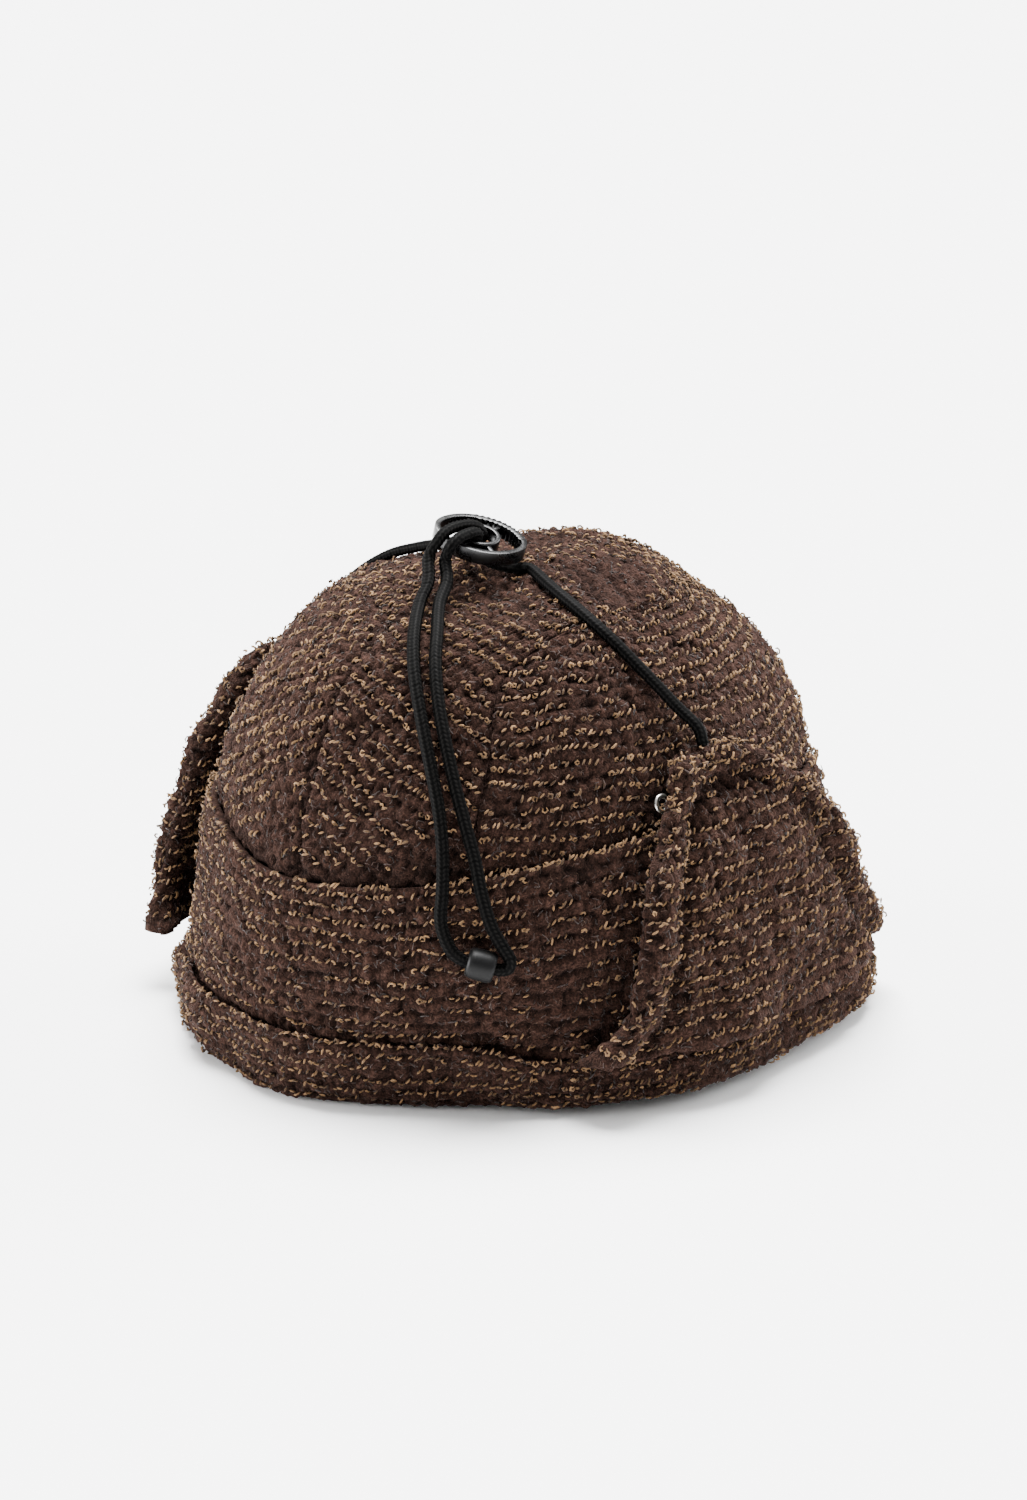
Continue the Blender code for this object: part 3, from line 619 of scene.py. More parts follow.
def closed_wall(name, outer, inner, ring):
    """A wall between a fine outer grid and an inner one a quarter as fine, its edges
    closed. A ring is joined end to start."""
    rows, columns = outer.shape[:2]
    fewer_rows, fewer_columns = inner.shape[:2]
    first = np.arange(rows * columns).reshape(rows, columns)
    second = rows * columns + np.arange(fewer_rows * fewer_columns).reshape(
        fewer_rows, fewer_columns)
    faces = [
        grid_faces(rows, columns, ring),
        rows * columns + grid_faces(fewer_rows, fewer_columns, ring)[:, ::-1],
    ]
    if ring:
        first = np.concatenate([first, first[:, :1]], 1)
        second = np.concatenate([second, second[:, :1]], 1)
    edges = [(first[0], second[0]), (first[-1][::-1], second[-1][::-1])]
    if not ring:
        edges += [(first[:, -1], second[:, -1]), (first[::-1, 0], second[::-1, 0])]
    triangles = []
    for fine, coarse in edges:
        for number in range(len(coarse) - 1):
            for small in range(number * coarser, (number + 1) * coarser):
                triangles.append((fine[small + 1], fine[small], coarse[number]))
            triangles.append((coarse[number + 1], fine[(number + 1) * coarser], coarse[number]))
    faces.append(np.array(triangles))
    points = np.concatenate([outer.reshape(-1, 3), inner.reshape(-1, 3)])
    return mesh_of(name, points, faces)


def keep_painted_shade(mesh, height):
    """Keeps on the mesh how high each point lies on the tufts, which paints shade into the knit's
    colour where it is low.
    """
    values = np.full(len(mesh.vertices), 0.6)
    values[:height.size] = height.ravel()
    layer = mesh.attributes.new("tuft_height", "FLOAT", "POINT")
    layer.data.foreach_set("value", values.astype(np.float32))


def yarn_arcs(
        name, middle, first_axis, second_axis, reach, arc, yarn, tone, steps, sides, finish):
    """Short bent lengths of yarn, joined in one mesh. Each is part of an oval in the plane
    of its two axes, and arc gives where on that oval it starts and ends."""
    count = len(middle)
    swing = arc[:, :1] + (arc[:, 1:] - arc[:, :1]) * np.linspace(0, 1, steps)[None]
    spoke = (
        first_axis[:, None] * (np.cos(swing) * reach[:, :1])[..., None]
        + second_axis[:, None] * (np.sin(swing) * reach[:, 1:])[..., None]
    )
    centre = middle[:, None] + spoke
    side_axis = unit(np.cross(first_axis, second_axis))
    out_axis = unit(spoke)
    spin = np.linspace(0, 2 * np.pi, sides, endpoint=False)
    taper = np.where((np.arange(steps) == 0) | (np.arange(steps) == steps - 1), 0.55, 1.0)
    size = yarn[:, None] * taper[None]
    points = (
        centre[:, :, None]
        + out_axis[:, :, None] * (size[..., None] * np.cos(spin))[..., None]
        + side_axis[:, None, None] * (size[..., None] * np.sin(spin))[..., None]
    )
    one = grid_faces(steps, sides, True)[:, ::-1]
    ends = np.stack([np.arange(sides), sides * steps - 1 - np.arange(sides)])
    shift = (np.arange(count) * steps * sides)[:, None, None]
    mesh = mesh_of(name, points.reshape(-1, 3), [
        (one[None] + shift).reshape(-1, 4), (ends[None] + shift).reshape(-1, sides)])
    layer = mesh.attributes.new("yarn_tone", "FLOAT", "POINT")
    layer.data.foreach_set("value", np.repeat(tone, steps * sides).astype(np.float32))
    return put(name, mesh, finish)


def course_seams(points, outward, course, inside):
    """The lines between courses: for each, its points, the outward direction and whether
    loops may stand there."""
    lines = []
    for number in range(math.ceil(course.min()), math.floor(course.max()) + 1):
        over = course - number
        columns, rows = np.nonzero((over[:-1] * over[1:] < 0).T)
        if len(rows) < 3:
            continue
        part = over[rows, columns] / (over[rows, columns] - over[rows + 1, columns])
        part = part[:, None]
        spots = points[rows, columns] * (1 - part) + points[rows + 1, columns] * part
        lines.append((spots, outward[rows, columns], inside[rows, columns]))
    return lines


def loop_places(lines, spacing, cover, seed):
    """Places along the lines, close together in runs with bare stretches between."""
    chance = np.random.default_rng(seed)
    found = []
    for spots, out, inside in lines:
        steps = np.linalg.norm(np.diff(spots, axis=0), axis=1)
        travelled = np.concatenate([[0], np.cumsum(np.minimum(steps, 0.002))])
        wanted = np.arange(chance.uniform(0, spacing), travelled[-1], spacing)
        wanted = wanted + chance.normal(0, 0.13 * spacing, len(wanted))
        index = np.clip(np.searchsorted(travelled, wanted), 2, len(spots) - 3)
        way = unit(spots[index + 2] - spots[index - 2])
        run = 0.5 + 0.40 * lumps(spots[index], 0.0058, seed + 5)
        run = run + 0.24 * lumps(spots[index], 0.032, seed + 6)
        kept = (run > chance.uniform(0, 1 - cover, len(index)) * 1.2) & inside[index]
        near = np.linalg.norm(spots[index + 2] - spots[index - 2], axis=1) < 0.006
        kept &= near
        found.append((spots[index][kept], out[index][kept], way[kept]))
    return [np.concatenate(kind) for kind in zip(*found)]


def lay_tan_loops(name, at, out, way, seed):
    """Plump tan loops: rings that lie nearly flat, hooks, and short slanting turns."""
    chance = np.random.default_rng(seed)
    total = len(at)
    beside = np.cross(out, way)
    kind = chance.random(total)
    ring = kind < 0.24
    hook = (kind >= 0.24) & (kind < 0.44)
    lean = np.radians(chance.uniform(5, 55, total))
    skew = np.radians(chance.normal(48, 16, total))
    slanting = way * np.cos(skew)[:, None] + beside * np.sin(skew)[:, None]
    rising = beside * np.cos(lean)[:, None] + out * np.sin(lean)[:, None]
    first_axis = np.where((ring | hook)[:, None], way, slanting)
    second_axis = np.where((ring | hook)[:, None], rising, out)
    size = chance.uniform(0.82, 1.18, total)
    reach = np.stack([
        np.where(ring, 0.00064, np.where(hook, 0.00072, 0.00084)) * size,
        np.where(ring, 0.00064, np.where(hook, 0.00062, 0.00064)) * size,
    ], -1)
    start = np.where(ring | hook, chance.uniform(0, 6.28, total), chance.uniform(-0.35, 0, total))
    stretch = np.where(ring, chance.uniform(5.0, 5.9, total),
                       np.where(hook, chance.uniform(3.0, 4.0, total),
                                chance.uniform(3.1, 3.9, total)))
    lift = np.where(ring | hook, 0.00105, 0.00068) + chance.normal(0, 0.00012, total)
    middle = at + out * lift[:, None] + way * chance.normal(0, 0.00012, (total, 1))
    middle = middle + beside * chance.normal(0.00035, 0.00026, (total, 1))
    yarn_arcs(
        name, middle, first_axis, second_axis, reach, np.stack([start, start + stretch], -1),
        chance.uniform(0.00030, 0.00041, total), chance.random(total),
        steps=5, sides=3, finish=tan_finish)


def brush_up(name, points, outward, height, inside, seed):
    """Brown curls drawn up out of the tufts by brushing, and the finest loose hairs."""
    chance = np.random.default_rng(seed)
    cell = np.linalg.norm(np.cross(
        np.gradient(points, axis=1), np.gradient(points, axis=0)), axis=-1)
    share = (cell * inside * (0.2 + height ** 2)).ravel()
    area = (cell * inside).sum()
    flat_points = points.reshape(-1, 3)
    flat_out = outward.reshape(-1, 3)
    for kind, each, yarn, finish in (
            ("_brown_curls", 0.0000095, (0.00013, 0.00031), curl_finish),
            ("_loose_hairs", 0.0000180, (0.00004, 0.00007), hair_finish)):
        count = int(area / each)
        picked = chance.choice(len(share), size=count, replace=False, p=share / share.sum())
        at = flat_points[picked]
        out = flat_out[picked]
        around = unit(np.cross(out, chance.normal(size=(count, 3))))
        lean = np.radians(chance.uniform(8, 75, count))[:, None]
        rising = np.cross(out, around) * np.cos(lean) + out * np.sin(lean)
        size = chance.uniform(0.6, 1.3, count)
        start = chance.uniform(-0.2, 0.5, count)
        yarn_arcs(
            name + kind, at - out * 0.00015, around, rising,
            np.stack([0.00100 * size, 0.00070 * size], -1),
            np.stack([start, start + chance.uniform(1.6, 3.0, count)], -1),
            chance.uniform(*yarn, count), chance.random(count),
            steps=3, sides=3, finish=finish)


def dress_knit(name, points, outward, course, height, inside, seed, cover=0.66):
    """Tan loops in every line between courses, and the brushed brown nap."""
    lines = course_seams(points, outward, course, inside)
    lay_tan_loops(name + "_tan_loops", *loop_places(lines, loop_pitch, cover, seed), seed + 1)
    brush_up(name, points, outward, height, inside, seed + 2)


def shade_colour(tree, shader, tones, share):
    """Gives the shader the tones, darker where the share is low."""
    darken = tree.nodes.new("ShaderNodeMix")
    darken.data_type = "RGBA"
    darken.blend_type = "MULTIPLY"
    darken.inputs["Factor"].default_value = 1.0
    tree.links.new(tones.outputs["Color"], darken.inputs["A"])
    tree.links.new(share, darken.inputs["B"])
    tree.links.new(darken.outputs["Result"], shader.inputs["Base Color"])


def cloth_finish(name, dark, brown, light, nap):
    """Brushed yarn, uneven in tone and fibrous, with painted shade darkening it between the tufts
    and painted light on their tops.
    """
    finish, tree, shader = new_finish(name, brown, 0.95)
    shader.inputs["Sheen Weight"].default_value = 0.06
    shader.inputs["Sheen Roughness"].default_value = 0.5
    shader.inputs["Sheen Tint"].default_value = (0.90, 0.52, 0.42, 1)
    shader.inputs["Specular IOR Level"].default_value = 0.06
    patch = grain(tree, 420, 5)
    fleck = grain(tree, 1500, 3)
    tones = tree.nodes.new("ShaderNodeValToRGB")
    tones.color_ramp.elements[0].position = 0.36
    tones.color_ramp.elements[0].color = (*dark, 1)
    tones.color_ramp.elements[1].position = 0.66
    tones.color_ramp.elements[1].color = (*light, 1)
    middle = tones.color_ramp.elements.new(0.5)
    middle.color = (*brown, 1)
    blend = tree.nodes.new("ShaderNodeMath")
    blend.operation = "MULTIPLY_ADD"
    blend.inputs[1].default_value = 0.55
    tree.links.new(fleck, blend.inputs[0])
    half = tree.nodes.new("ShaderNodeMath")
    half.operation = "MULTIPLY"
    half.inputs[1].default_value = 0.45
    tree.links.new(patch, half.inputs[0])
    tree.links.new(half.outputs["Value"], blend.inputs[2])
    tree.links.new(blend.outputs["Value"], tones.inputs["Fac"])
    # The tuft height paints shade into the knit's low places and light on the tufts' tops.
    depth = tree.nodes.new("ShaderNodeAttribute")
    depth.attribute_name = "tuft_height"
    shade_colour(tree, shader, tones, ranged(tree, depth.outputs["Fac"], 0.14, 1.30))
    roughen(tree, shader, fleck, nap, 0.0010)
    return finish


def yarn_finish(name, dull, bright, sheen):
    """Twisted yarn whose tone changes from loop to loop."""
    finish, tree, shader = new_finish(name, bright, 0.85)
    shader.inputs["Sheen Weight"].default_value = sheen
    shader.inputs["Sheen Roughness"].default_value = 0.5
    shader.inputs["Specular IOR Level"].default_value = 0.2
    tone = tree.nodes.new("ShaderNodeAttribute")
    tone.attribute_name = "yarn_tone"
    tones = tree.nodes.new("ShaderNodeValToRGB")
    tones.color_ramp.elements[0].color = (*dull, 1)
    tones.color_ramp.elements[1].color = (*bright, 1)
    tree.links.new(tone.outputs["Fac"], tones.inputs["Fac"])
    fleck = grain(tree, 2400)
    shade_colour(tree, shader, tones, ranged(tree, fleck, 0.72, 1.1, 0.3, 0.7))
    roughen(tree, shader, fleck, 0.5, 0.0003)
    return finish


knit_finish = cloth_finish(
    "brushed_brown_knit", (0.0034, 0.0015, 0.0010), (0.0132, 0.0062, 0.0043),
    (0.038, 0.0192, 0.0142), 1.0)
tan_finish = yarn_finish("tan_loop_yarn", (0.050, 0.027, 0.012), (0.205, 0.116, 0.053), 0.03)
curl_finish = yarn_finish("brown_yarn", (0.006, 0.0028, 0.0019), (0.036, 0.0182, 0.0131), 0.07)
hair_finish = yarn_finish("loose_brown_fibre", (0.025, 0.0135, 0.0095), (0.11, 0.066, 0.046), 0.04)

band_columns = 600
band_angles = np.arange(band_columns) * 360 / band_columns - 90
hidden_rows = 9
band_rows = 77
behind = row_at(0.015)
first_course = row_at(0.018)
band_top = seam_row(band_angles)[None]
foot = row_at(cuff_turn + gap + rim_lift(band_angles))[None]
band_row = np.concatenate([
    foot + np.linspace(0, 1, hidden_rows, endpoint=False)[:, None] * (behind - foot),
    behind + np.linspace(0, 1, band_rows - hidden_rows)[:, None] * (band_top - behind),
])
band_angle = np.broadcast_to(band_angles, band_row.shape)
band_points = hat_surface(band_angle, band_row)
band_outward = hat_outward(band_angle, band_row)
above_cuff = band_points[..., 2] - cuff_top(band_angles)[None]
band_courses = 12
course = band_courses * (band_row - first_course) / (band_top - first_course)
under_seam = band_top - band_row
course = course - 0.35 + wavering(0, band_points, 100) * smooth_step(under_seam / 0.5)
along = np.radians(band_angle) * mean_reach * 0.95
bared = smooth_step((above_cuff + 0.004) / 0.003)
band_outer, height = knit_relief(band_points, band_outward, course, along, 110, bared)
band_outer -= band_outward * (0.0012 * (1 - bared))[..., None]
band_outer -= band_outward * (0.0008 * np.exp(-(under_seam / 0.13) ** 2))[..., None]
band_inner = (band_points - band_outward * (band_cloth - 0.0006))[::coarser, ::coarser]
band_mesh = closed_wall("band_knit", band_outer, band_inner, True)
keep_painted_shade(band_mesh, height)
put("band_knit", band_mesh, knit_finish, ["band"])
behind_flap = (np.abs(np.sin(np.radians(band_angle))) < 0.27) & (band_points[..., 2] < 0.072)
dress_knit("band", band_outer, band_outward, course, height,
           (above_cuff > 0.0005) & (under_seam > 0.02) & ~behind_flap, 120)
edge_line = [(band_outer[-1] + band_outward[-1] * 0.0002, band_outward[-1],
              np.ones(band_columns, dtype=bool))]
lay_tan_loops("band_top_tan_loops", *loop_places(edge_line, edge_pitch, 0.88, 140), 141)


# Edge cuff
# The hat's lower edge, a strip of the same knit turned under and up the outside. It lies
# lower where an ear flap stands on it.
cuff_columns = 600
cuff_angles = np.arange(cuff_columns) * 360 / cuff_columns - 90
cuff_tops = cuff_top(cuff_angles)
cuff_reach = gap + cuff_cloth
cuff_pitch = 0.0037
# The cuff's section, from inside the band round under the rim and up to its top edge, as
# shares of its reach and of its height
section_out = np.array([
    -1.0, -1.0, -0.7, -0.2, 0.25, 0.70, 0.97, 1.03, 1.00, 0.92, 0.78, 0.58, 0.32, 0.14, 0.10, 0.10,
])
section_up = np.array([
    0.155, 0.07, 0.015, 0.0, 0.0, 0.02, 0.10, 0.22, 0.45, 0.70, 0.88, 0.985, 1.0, 0.93, 0.7, 0.3,
])
cuff_steps = 50
spots = np.linspace(0, len(section_out), cuff_steps, endpoint=False)
numbers = np.arange(len(section_out) + 1)
looped_out = np.interp(spots, numbers, np.append(section_out, section_out[0]))
looped_up = np.interp(spots, numbers, np.append(section_up, section_up[0]))
out_by = np.where(looped_out < 0, looped_out * (band_cloth - 0.0002), looped_out * cuff_reach)
cuff_foot = rim_lift(cuff_angles)
cuff_z = cuff_foot[None] + looped_up[:, None] * (cuff_tops - cuff_foot)[None]
cuff_row = row_at(np.maximum(cuff_z, cuff_turn))
cuff_angle = np.broadcast_to(cuff_angles, cuff_row.shape)
level_out = hat_outward(cuff_angle, cuff_row)
level_out[..., 2] = 0
level_out = unit(level_out)
cuff_points = hat_surface(cuff_angle, cuff_row) + level_out * out_by[:, None, None]
cuff_points[..., 2] = cuff_z
wide = np.concatenate([cuff_points[-1:], cuff_points, cuff_points[:1]], 0)
beside_it = np.concatenate([cuff_points[:, -1:], cuff_points, cuff_points[:, :1]], 1)
cuff_outward = unit(np.cross(
    beside_it[:, 2:] - beside_it[:, :-2], wide[2:] - wide[:-2]))
up_the_cuff = np.concatenate([
    [0], np.cumsum(np.linalg.norm(np.diff(cuff_points[:, 0], axis=0), axis=1))])
course = np.broadcast_to(up_the_cuff[:, None], cuff_row.shape) / cuff_pitch + 0.35
course = course + wavering(0, cuff_points, 200)
along = np.radians(cuff_angle) * mean_reach
# Tufts stand on the outer face alone, from above the turn to just over the top edge
step_number = np.arange(cuff_steps)
facing = smooth_step((step_number - 11) / 4.4) * smooth_step((41 - step_number) / 3.7)
cuff_outer, height = knit_relief(cuff_points, cuff_outward, course, along, 210, facing[:, None])
wave = 0.0006 * lumps(cuff_points, 0.016, 215) * facing[:, None]
cuff_outer += level_out * wave[..., None]
cuff_outer[..., 2] = np.maximum(cuff_outer[..., 2], 0.0)
cuff_faces = grid_faces(cuff_steps, cuff_columns, True)
index = np.arange(cuff_steps * cuff_columns).reshape(cuff_steps, cuff_columns)
index = np.concatenate([index, index[:, :1]], 1)
close_up = np.stack([index[-1, :-1], index[-1, 1:], index[0, 1:], index[0, :-1]], -1)
cuff_mesh = mesh_of("edge_cuff_knit", cuff_outer.reshape(-1, 3), [cuff_faces, close_up])
keep_painted_shade(cuff_mesh, height)
put("edge_cuff_knit", cuff_mesh, knit_finish, ["edge_cuff"])
dress_knit("edge_cuff", cuff_outer, cuff_outward, course, height,
           (facing[:, None] > 0.9) & (cuff_outer[..., 2] > 0.0016 + cuff_foot[None]), 220)


# Crown
# Six panels of the knit, a curved one over each ear and two at the brow and at the back.
# The courses lie level on the side panels. On the others they run down from the middle
# seam at a slant, so that they meet there in a chevron.
side_panel_top = 0.1268
seam_tuck = 0.0020
# Each row's level, and the angles of a side panel's two edges there
panel_edge = np.array([
    (0.00, -54, 55), (0.20, -53, 54), (0.40, -51, 53), (0.60, -50, 50),
    (0.75, -46, 44), (0.87, -37, 33), (0.95, -26, 15), (1.00, -11.3, -10.7),
])
meeting = -11
apex_level = 1.985
slant_across, slant_up = 0.527, 0.850
vents = [
    np.array([0.5 * (low + high) for low, high in zip(*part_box("side_eyelet_" + hand))])
    for hand in ("left", "right")
]


def crown_at(angle, level):
    """Outside and outward direction on the crown. Level 0 is the seam with the band, 1
    the side panels' top and 2 the top of the hat."""
    seam = seam_row(angle)
    shoulder = row_at(side_panel_top)
    row = np.where(
        level <= 1, seam + level * (shoulder - seam),
        shoulder + (level - 1) * (top_row - shoulder))
    outward = hat_outward(angle, row)
    tuck = seam_tuck * np.exp(-((row - seam) / 0.55) ** 2)
    return hat_surface(angle, row) - outward * tuck[..., None], outward, row


def arc_lengths(points, axis):
    steps = np.linalg.norm(np.diff(points, axis=axis), axis=-1)
    start = np.zeros_like(np.take(steps, [0], axis=axis))
    return np.concatenate([start, np.cumsum(steps, axis=axis)], axis)


meridian_rows = np.linspace(0, top_row, 481)
meridian = arc_lengths(hat_surface(np.zeros(481), meridian_rows), 0)


def crown_panel(name, levels, starts, ends, columns, slant_from, mirrored, cover, seed):
    """One panel: levels up its height, and the angles of its two edges at each."""
    share = np.linspace(0, 1, columns + 1)
    angle = starts[:, None] + (ends - starts)[:, None] * share[None]
    level = np.broadcast_to(levels[:, None], angle.shape)
    if mirrored:
        angle = 180 - angle[:, ::-1]
    points, outward, row = crown_at(angle, level)
    from_left = arc_lengths(points, 1)
    width = from_left[:, -1:]
    from_right = width - from_left
    up_it = arc_lengths(points, 0)
    if slant_from is None:
        course = np.interp(row, meridian_rows, meridian) / course_pitch
        along = from_left - 0.5 * width
    else:
        middle_left = (slant_from == "left") != mirrored
        from_middle = from_left if middle_left else from_right
        middle_rise = up_it[:, :1] if middle_left else up_it[:, -1:]
        course = (slant_across * from_middle + slant_up * middle_rise) / course_pitch
        along = slant_up * from_middle - slant_across * middle_rise
    course = course + wavering(0, points, seed)
    # The knit dips into the seams and round the vent. Painted shade darkens it in the seams, round
    # the vent and just above the band's edge on the front panels, and fewer curls and no loops
    # stand round the vent and above the band.
    edge = np.minimum(np.minimum(from_left, from_right), up_it + 0.0006)
    dip = 0.0009 * np.exp(-(edge / 0.0016) ** 2) * smooth_step(width / 0.02)
    outer, height = knit_relief(points, outward, course, along, seed + 10)
    outer = outer - outward * dip[..., None]
    hollow = sum(np.exp(-(np.linalg.norm(points - vent, axis=-1) / 0.0048) ** 2)
                 for vent in vents)
    outer = outer - outward * (0.0010 * hollow)[..., None]
    under_roll = np.exp(-(up_it / 0.0055) ** 2) if slant_from == "left" else 0 * up_it
    # Lower heights here paint shade round the vent and above the band, and thin the curls.
    height = height * (1 - 0.85 * hollow) * (1 - 0.5 * under_roll)
    inner = (points - outward * crown_cloth)[::coarser, ::coarser]
    mesh = closed_wall(name + "_knit", outer, inner, False)
    # Painted shade darkens the knit along the panel's seams.
    keep_painted_shade(mesh, height * (1 - 0.5 * np.exp(-(edge / 0.0013) ** 2)))
    put(name + "_knit", mesh, knit_finish, [name])
    dress_knit(name, outer, outward, course, height,
               (edge > 0.0007) & (hollow < 0.3) & (under_roll < 0.6), seed + 20, cover)


for order, (hand, mirrored) in enumerate((("left", False), ("right", True))):
    side_levels = np.linspace(0, 1, 73)
    edge_numbers = np.interp(side_levels, panel_edge[:, 0], np.arange(len(panel_edge)))
    side_starts = read_smooth(panel_edge[:, 1], edge_numbers)
    side_ends = read_smooth(panel_edge[:, 2], edge_numbers)
    crown_panel("crown_side_" + hand, side_levels, side_starts, side_ends, 160,
                None, mirrored, 0.70 - 0.25 * order, 300 + 100 * order)
    top_levels = np.linspace(1, apex_level, 49)[1:]
    tall_levels = np.concatenate([side_levels, top_levels])
    at_top = np.full(len(top_levels), float(meeting))
    crown_panel("crown_front_" + hand, tall_levels, np.full(len(tall_levels), -90.0),
                np.concatenate([side_starts, at_top]), 76, "left", mirrored,
                0.72 - 0.36 * order, 500 + 100 * order)
    crown_panel("crown_back_" + hand, tall_levels, np.concatenate([side_ends, at_top]),
                np.full(len(tall_levels), 90.0), 76, "right", mirrored,
                0.62, 700 + 100 * order)


# Ear flaps
# Two layers of the knit each, with a fat rolled hem and a stitched groove inside it. They
# are turned up against the sides, stand on the cuff and are held by the cord at the tip.
flap_tip_height = 0.0935
flap_cloth = 0.0056
flap_hem_cloth = 0.0078
flap_groove_cloth = 0.0045
flap_hem_width = 0.0110
# Each row's share of the flap's height, the angles of its front and back edge, and how far
# it stands off the band at its front, middle and back
flap_tables = {
    "left": np.array([
        (0.00, -37, 43, 0.0020, 0.0012, 0.0008),
        (0.06, -33, 39, 0.0034, 0.0013, 0.0011),
        (0.16, -30, 34, 0.0048, 0.0015, 0.0015),
        (0.28, -29, 30, 0.0056, 0.0018, 0.0017),
        (0.40, -28, 27, 0.0060, 0.0020, 0.0018),
        (0.53, -27, 24, 0.0060, 0.0020, 0.0018),
        (0.66, -24.5, 20, 0.0052, 0.0020, 0.0018),
        (0.78, -21.5, 13, 0.0040, 0.0018, 0.0018),
        (0.89, -18.5, 5, 0.0028, 0.0016, 0.0016),
        (0.96, -16.5, 0, 0.0020, 0.0015, 0.0015),
        (1.00, -14, -4, 0.0016, 0.0015, 0.0015),
    ]),
    "right": np.array([
        (0.00, -35, 43, 0.0060, 0.0018, 0.0016),
        (0.06, -32, 39, 0.0090, 0.0022, 0.0024),
        (0.16, -30, 34, 0.0108, 0.0030, 0.0030),
        (0.28, -29, 30, 0.0112, 0.0034, 0.0032),
        (0.40, -28, 27, 0.0110, 0.0034, 0.0030),
        (0.53, -27, 24, 0.0104, 0.0030, 0.0026),
        (0.66, -25, 20, 0.0088, 0.0026, 0.0022),
        (0.78, -23, 13, 0.0066, 0.0022, 0.0018),
        (0.89, -21, 5, 0.0044, 0.0018, 0.0016),
        (0.96, -18, 0, 0.0028, 0.0015, 0.0015),
        (1.00, -14, -4, 0.0018, 0.0015, 0.0015),
    ]),
}
fold_height = cuff_height_at_flap + gap
flap_rows = 93
flap_columns = 132
hem_loops = 190
for order, (hand, table) in enumerate(flap_tables.items()):
    share_up = np.linspace(0, 1, flap_rows)
    spot = np.interp(share_up, table[:, 0], np.arange(len(table)))
    start, end, off_front, off_middle, off_back = (
        read_smooth(column, spot)[:, None] for column in table[:, 1:].T)
    z = (fold_height + share_up * (flap_tip_height - fold_height))[:, None]
    width = np.radians(end - start) * mean_reach * section_side[5]
    even = np.linspace(0, 1, flap_columns + 1)[None]
    share = 0.55 * even + 0.45 * (0.5 - 0.5 * np.cos(np.pi * even))
    angle = start + (end - start) * share
    toward_front = smooth_step(1 - share / 0.45)
    toward_back = smooth_step((share - 0.6) / 0.4)
    off = off_middle + (off_front - off_middle) * toward_front
    off = off + (off_back - off_middle) * toward_back
    # Its thickness: the fat hem, the stitched groove inside it and the even middle
    from_side = np.minimum(share, 1 - share) * width
    from_edge = np.minimum(from_side, flap_tip_height - z)
    swell = np.sin(np.pi * np.clip(from_edge / flap_hem_width + 0.18, 0, 1))
    field = smooth_step((from_edge - flap_hem_width) / (0.5 * flap_hem_width))
    thick = np.where(
        from_edge < flap_hem_width,
        flap_groove_cloth + (flap_hem_cloth - flap_groove_cloth) * swell,
        flap_groove_cloth + (flap_cloth - flap_groove_cloth) * field)
    rounding = np.sqrt(np.clip(1 - (1 - np.clip(from_edge / 0.0034, 0, 1)) ** 2, 0, 1))
    rounding = np.maximum(rounding, 0.10)
    middle_off = off + 0.5 * flap_hem_cloth * 0.92
    outer_off = middle_off + (off + thick - middle_off) * rounding
    inner_off = middle_off + (off - middle_off) * rounding
    # The outer and the inner face, on the band's own surface
    if hand == "right":
        angle = 180 - angle
    row = row_at(np.broadcast_to(z, angle.shape))
    base = hat_surface(angle, row)
    outward = hat_outward(angle, row)
    outer = base + outward * outer_off[..., None]
    inner = base + outward * inner_off[..., None]
    outer[0, :, 2] = fold_height
    inner[0, :, 2] = fold_height
    if hand == "right":
        outer, inner, from_edge, row, rounding = (
            grid[:, ::-1] for grid in (outer, inner, from_edge, row, rounding))
    # Both faces run on as one ring round the flap
    outer, from_edge, row, rounding = (
        np.concatenate([front, back[:, ::-1]], 1)
        for front, back in ((outer, inner), (from_edge, from_edge), (row, row),
                            (rounding, rounding)))
    turned_over = np.arange(outer.shape[1]) >= flap_columns + 1
    facing_out = np.cross(
        np.roll(outer, -1, 1) - np.roll(outer, 1, 1), np.gradient(outer, axis=0))
    facing_out = unit(facing_out)
    facing_out = unit(sum(np.roll(facing_out, shift, 1) for shift in (-2, -1, 0, 1, 2)))
    # The knit on it, a soft swell and the groove
    course = np.interp(row, meridian_rows, meridian) / course_pitch
    course = course + wavering(0, outer, 900 + 50 * order)
    along = arc_lengths(outer, 1)
    along = along - 0.25 * along[:, -1:]
    share = np.clip(rounding, 0.8, 1) * np.where(turned_over, 0.7, 1)
    knit, height = knit_relief(outer, facing_out, course, along, 910 + 50 * order, share)
    soft = 0.0008 * lumps(outer, 0.011, 915 + 50 * order) * np.where(turned_over, 0.3, 1)
    knit = knit + facing_out * soft[..., None]
    groove = np.exp(-((from_edge - flap_hem_width) / 0.0015) ** 2)
    knit = knit - facing_out * (0.0016 * groove * ~turned_over)[..., None]
    knit[0, :, 2] = fold_height
    round_it = knit.shape[1]
    first = np.arange(flap_columns)
    foot = np.stack([first + 1, first, round_it - 1 - first, round_it - 2 - first], -1)
    tip = foot[:, ::-1] + (flap_rows - 1) * round_it
    name = "ear_flap_" + hand
    mesh = mesh_of(name + "_knit", knit.reshape(-1, 3), [
        grid_faces(flap_rows, round_it, True), foot, tip])
    # Painted shade darkens the knit in the stitched groove.
    keep_painted_shade(mesh, height * (1 - 0.5 * groove * ~turned_over))
    put(name + "_knit", mesh, knit_finish, [name])
    dress_knit(name, knit, facing_out, course, height,
               (knit[..., 2] > fold_height + 0.001) & (~turned_over | (from_edge < 0.013)),
               920 + 50 * order, 0.70)
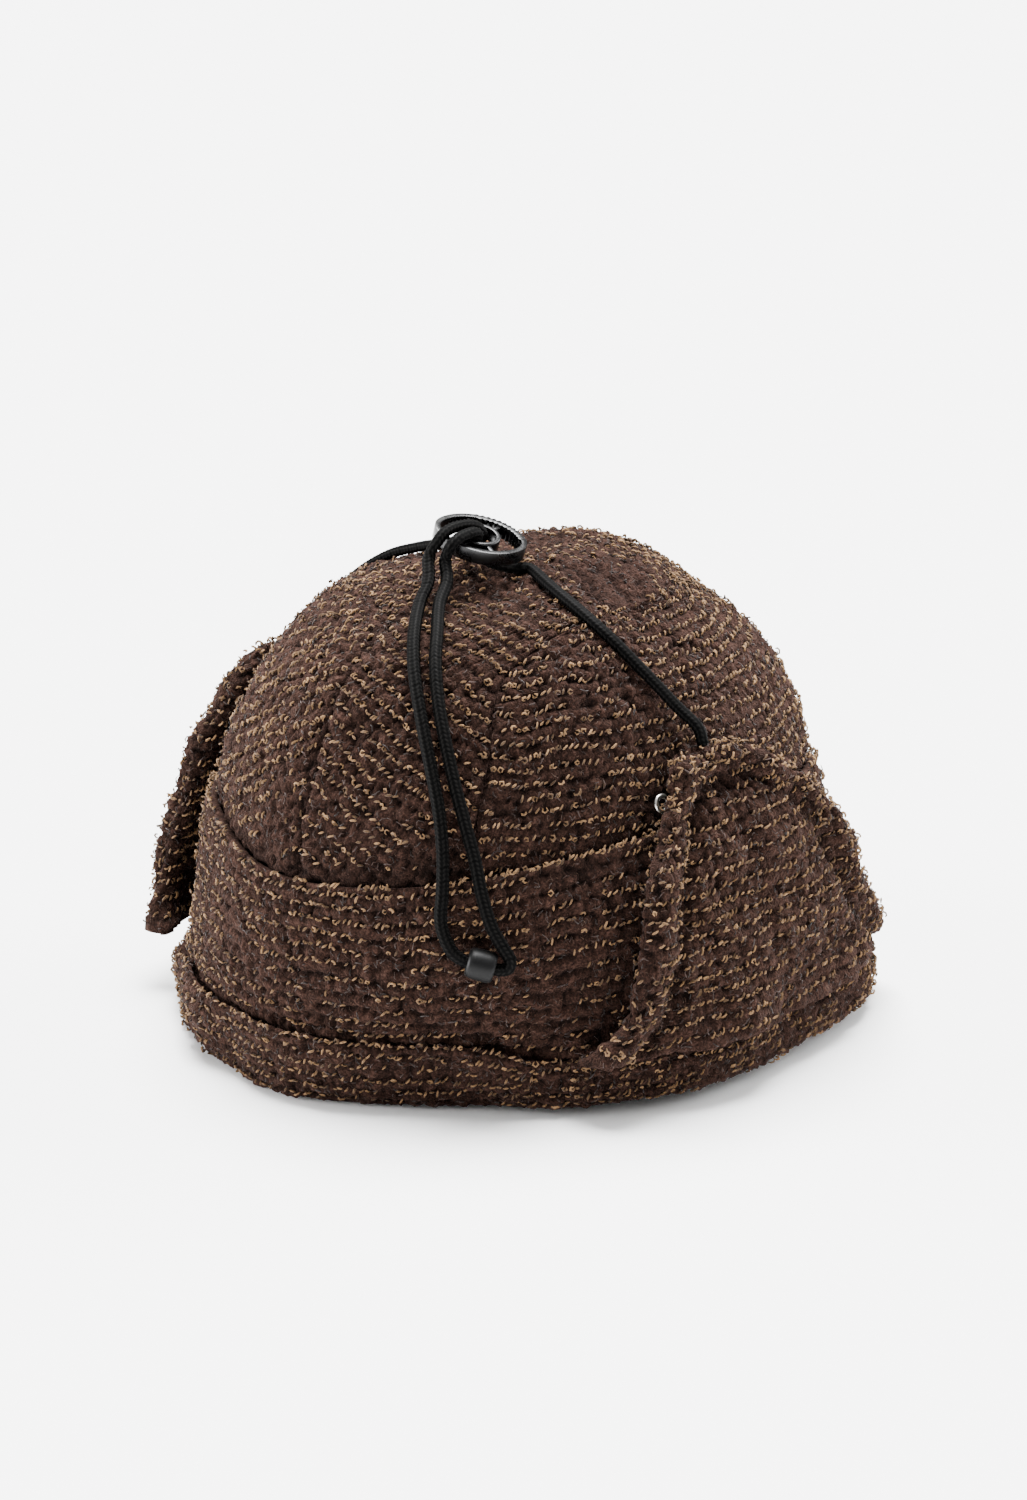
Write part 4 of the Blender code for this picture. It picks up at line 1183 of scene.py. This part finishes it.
    # More loops, all ways, on the rolled hem
    chance = np.random.default_rng(930 + 50 * order)
    hem_spots = np.argwhere(
        (from_edge < 0.85 * flap_hem_width) & ~turned_over & (knit[..., 2] > fold_height + 0.002))
    hem_spots = hem_spots[chance.choice(len(hem_spots), size=hem_loops, replace=False)]
    at, out = (grid[tuple(hem_spots.T)] for grid in (knit, facing_out))
    lay_tan_loops(name + "_hem_loops", at, out,
                  unit(np.cross(out, chance.normal(size=out.shape))), 931 + 50 * order)


# Side eyelets
# A bright pressed metal vent ring in each side panel, mostly under the flap's edge. Only
# the front of the rolled ring stands out of the knit.
metal_finish, tree, shader = new_finish("bright_eyelet_metal", (0.66, 0.64, 0.60), 0.28)
shader.inputs["Metallic"].default_value = 1.0
tree.links.new(ranged(tree, grain(tree, 900), 0.18, 0.42), shader.inputs["Roughness"])
eyelet_reach = 0.0021
eyelet_wire = 0.0007
for hand in ("left", "right"):
    low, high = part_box("side_eyelet_" + hand)
    seat = 0.5 * (Vector(low) + Vector(high))
    facing_way = Vector(((1 if hand == "left" else -1) * 0.935, -0.16, 0.32)).normalized()
    eyelet = start_piece(
        bpy.ops.mesh.primitive_torus_add, major_radius=eyelet_reach, minor_radius=eyelet_wire,
        major_segments=40, minor_segments=14)
    bpy.ops.object.mode_set(mode="EDIT")
    bpy.ops.mesh.select_all(action="SELECT")
    bpy.ops.transform.resize(value=(1, 1, 0.8))
    bpy.ops.object.mode_set(mode="OBJECT")
    turned = facing_way.to_track_quat("Z", "Y").to_matrix().to_4x4()
    toward_brow = Vector((0.16 if hand == "left" else -0.16, -0.98, 0)) * 0.0004
    eyelet.data.transform(
        Matrix.Translation(seat - facing_way * 0.0002 + toward_brow) @ turned)
    eyelet.data.shade_smooth()
    eyelet.name = "side_eyelet_ring_" + hand
    eyelet.data.materials.clear()
    eyelet.data.materials.append(metal_finish)
    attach(eyelet, "root")
    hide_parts("side_eyelet_" + hand)


# Floor and light
# A plain white floor in a white room, under three large soft lights: one from the left,
# one overhead and a weaker one from the right.
floor = start_piece(bpy.ops.mesh.primitive_plane_add, size=60, location=(0, 0, 0))
floor.name = "floor"
paper_finish, tree, shader = new_finish("white_paper", (0.92, 0.92, 0.92), 0.9)
floor.data.materials.clear()
floor.data.materials.append(paper_finish)
world = bpy.data.worlds.new("white_room")
world.use_nodes = True
world.node_tree.nodes["Background"].inputs["Color"].default_value = (1, 1, 1, 1)
world.node_tree.nodes["Background"].inputs["Strength"].default_value = 0.65
bpy.context.scene.world = world
level_toward = Vector((toward.x, toward.y, 0)).normalized()
softness = math.radians(40)
for name, strength, light_way in (
        ("left_softbox", 12.0, Vector((0, 0, 0.06)) - rightward - level_toward * 0.08),
        ("overhead_softbox", 20.0, Vector((0, 0, 1)) - level_toward * 0.30),
        ("right_softbox", 4.0, Vector((0, 0, 0.50)) + rightward - level_toward * 0.45)):
    light = bpy.data.lights.new(name, "SUN")
    light.energy = strength
    light.angle = softness
    holder = bpy.data.objects.new(name, light)
    holder.rotation_euler = light_way.to_track_quat("Z", "Y").to_euler()
    bpy.context.scene.collection.objects.link(holder)
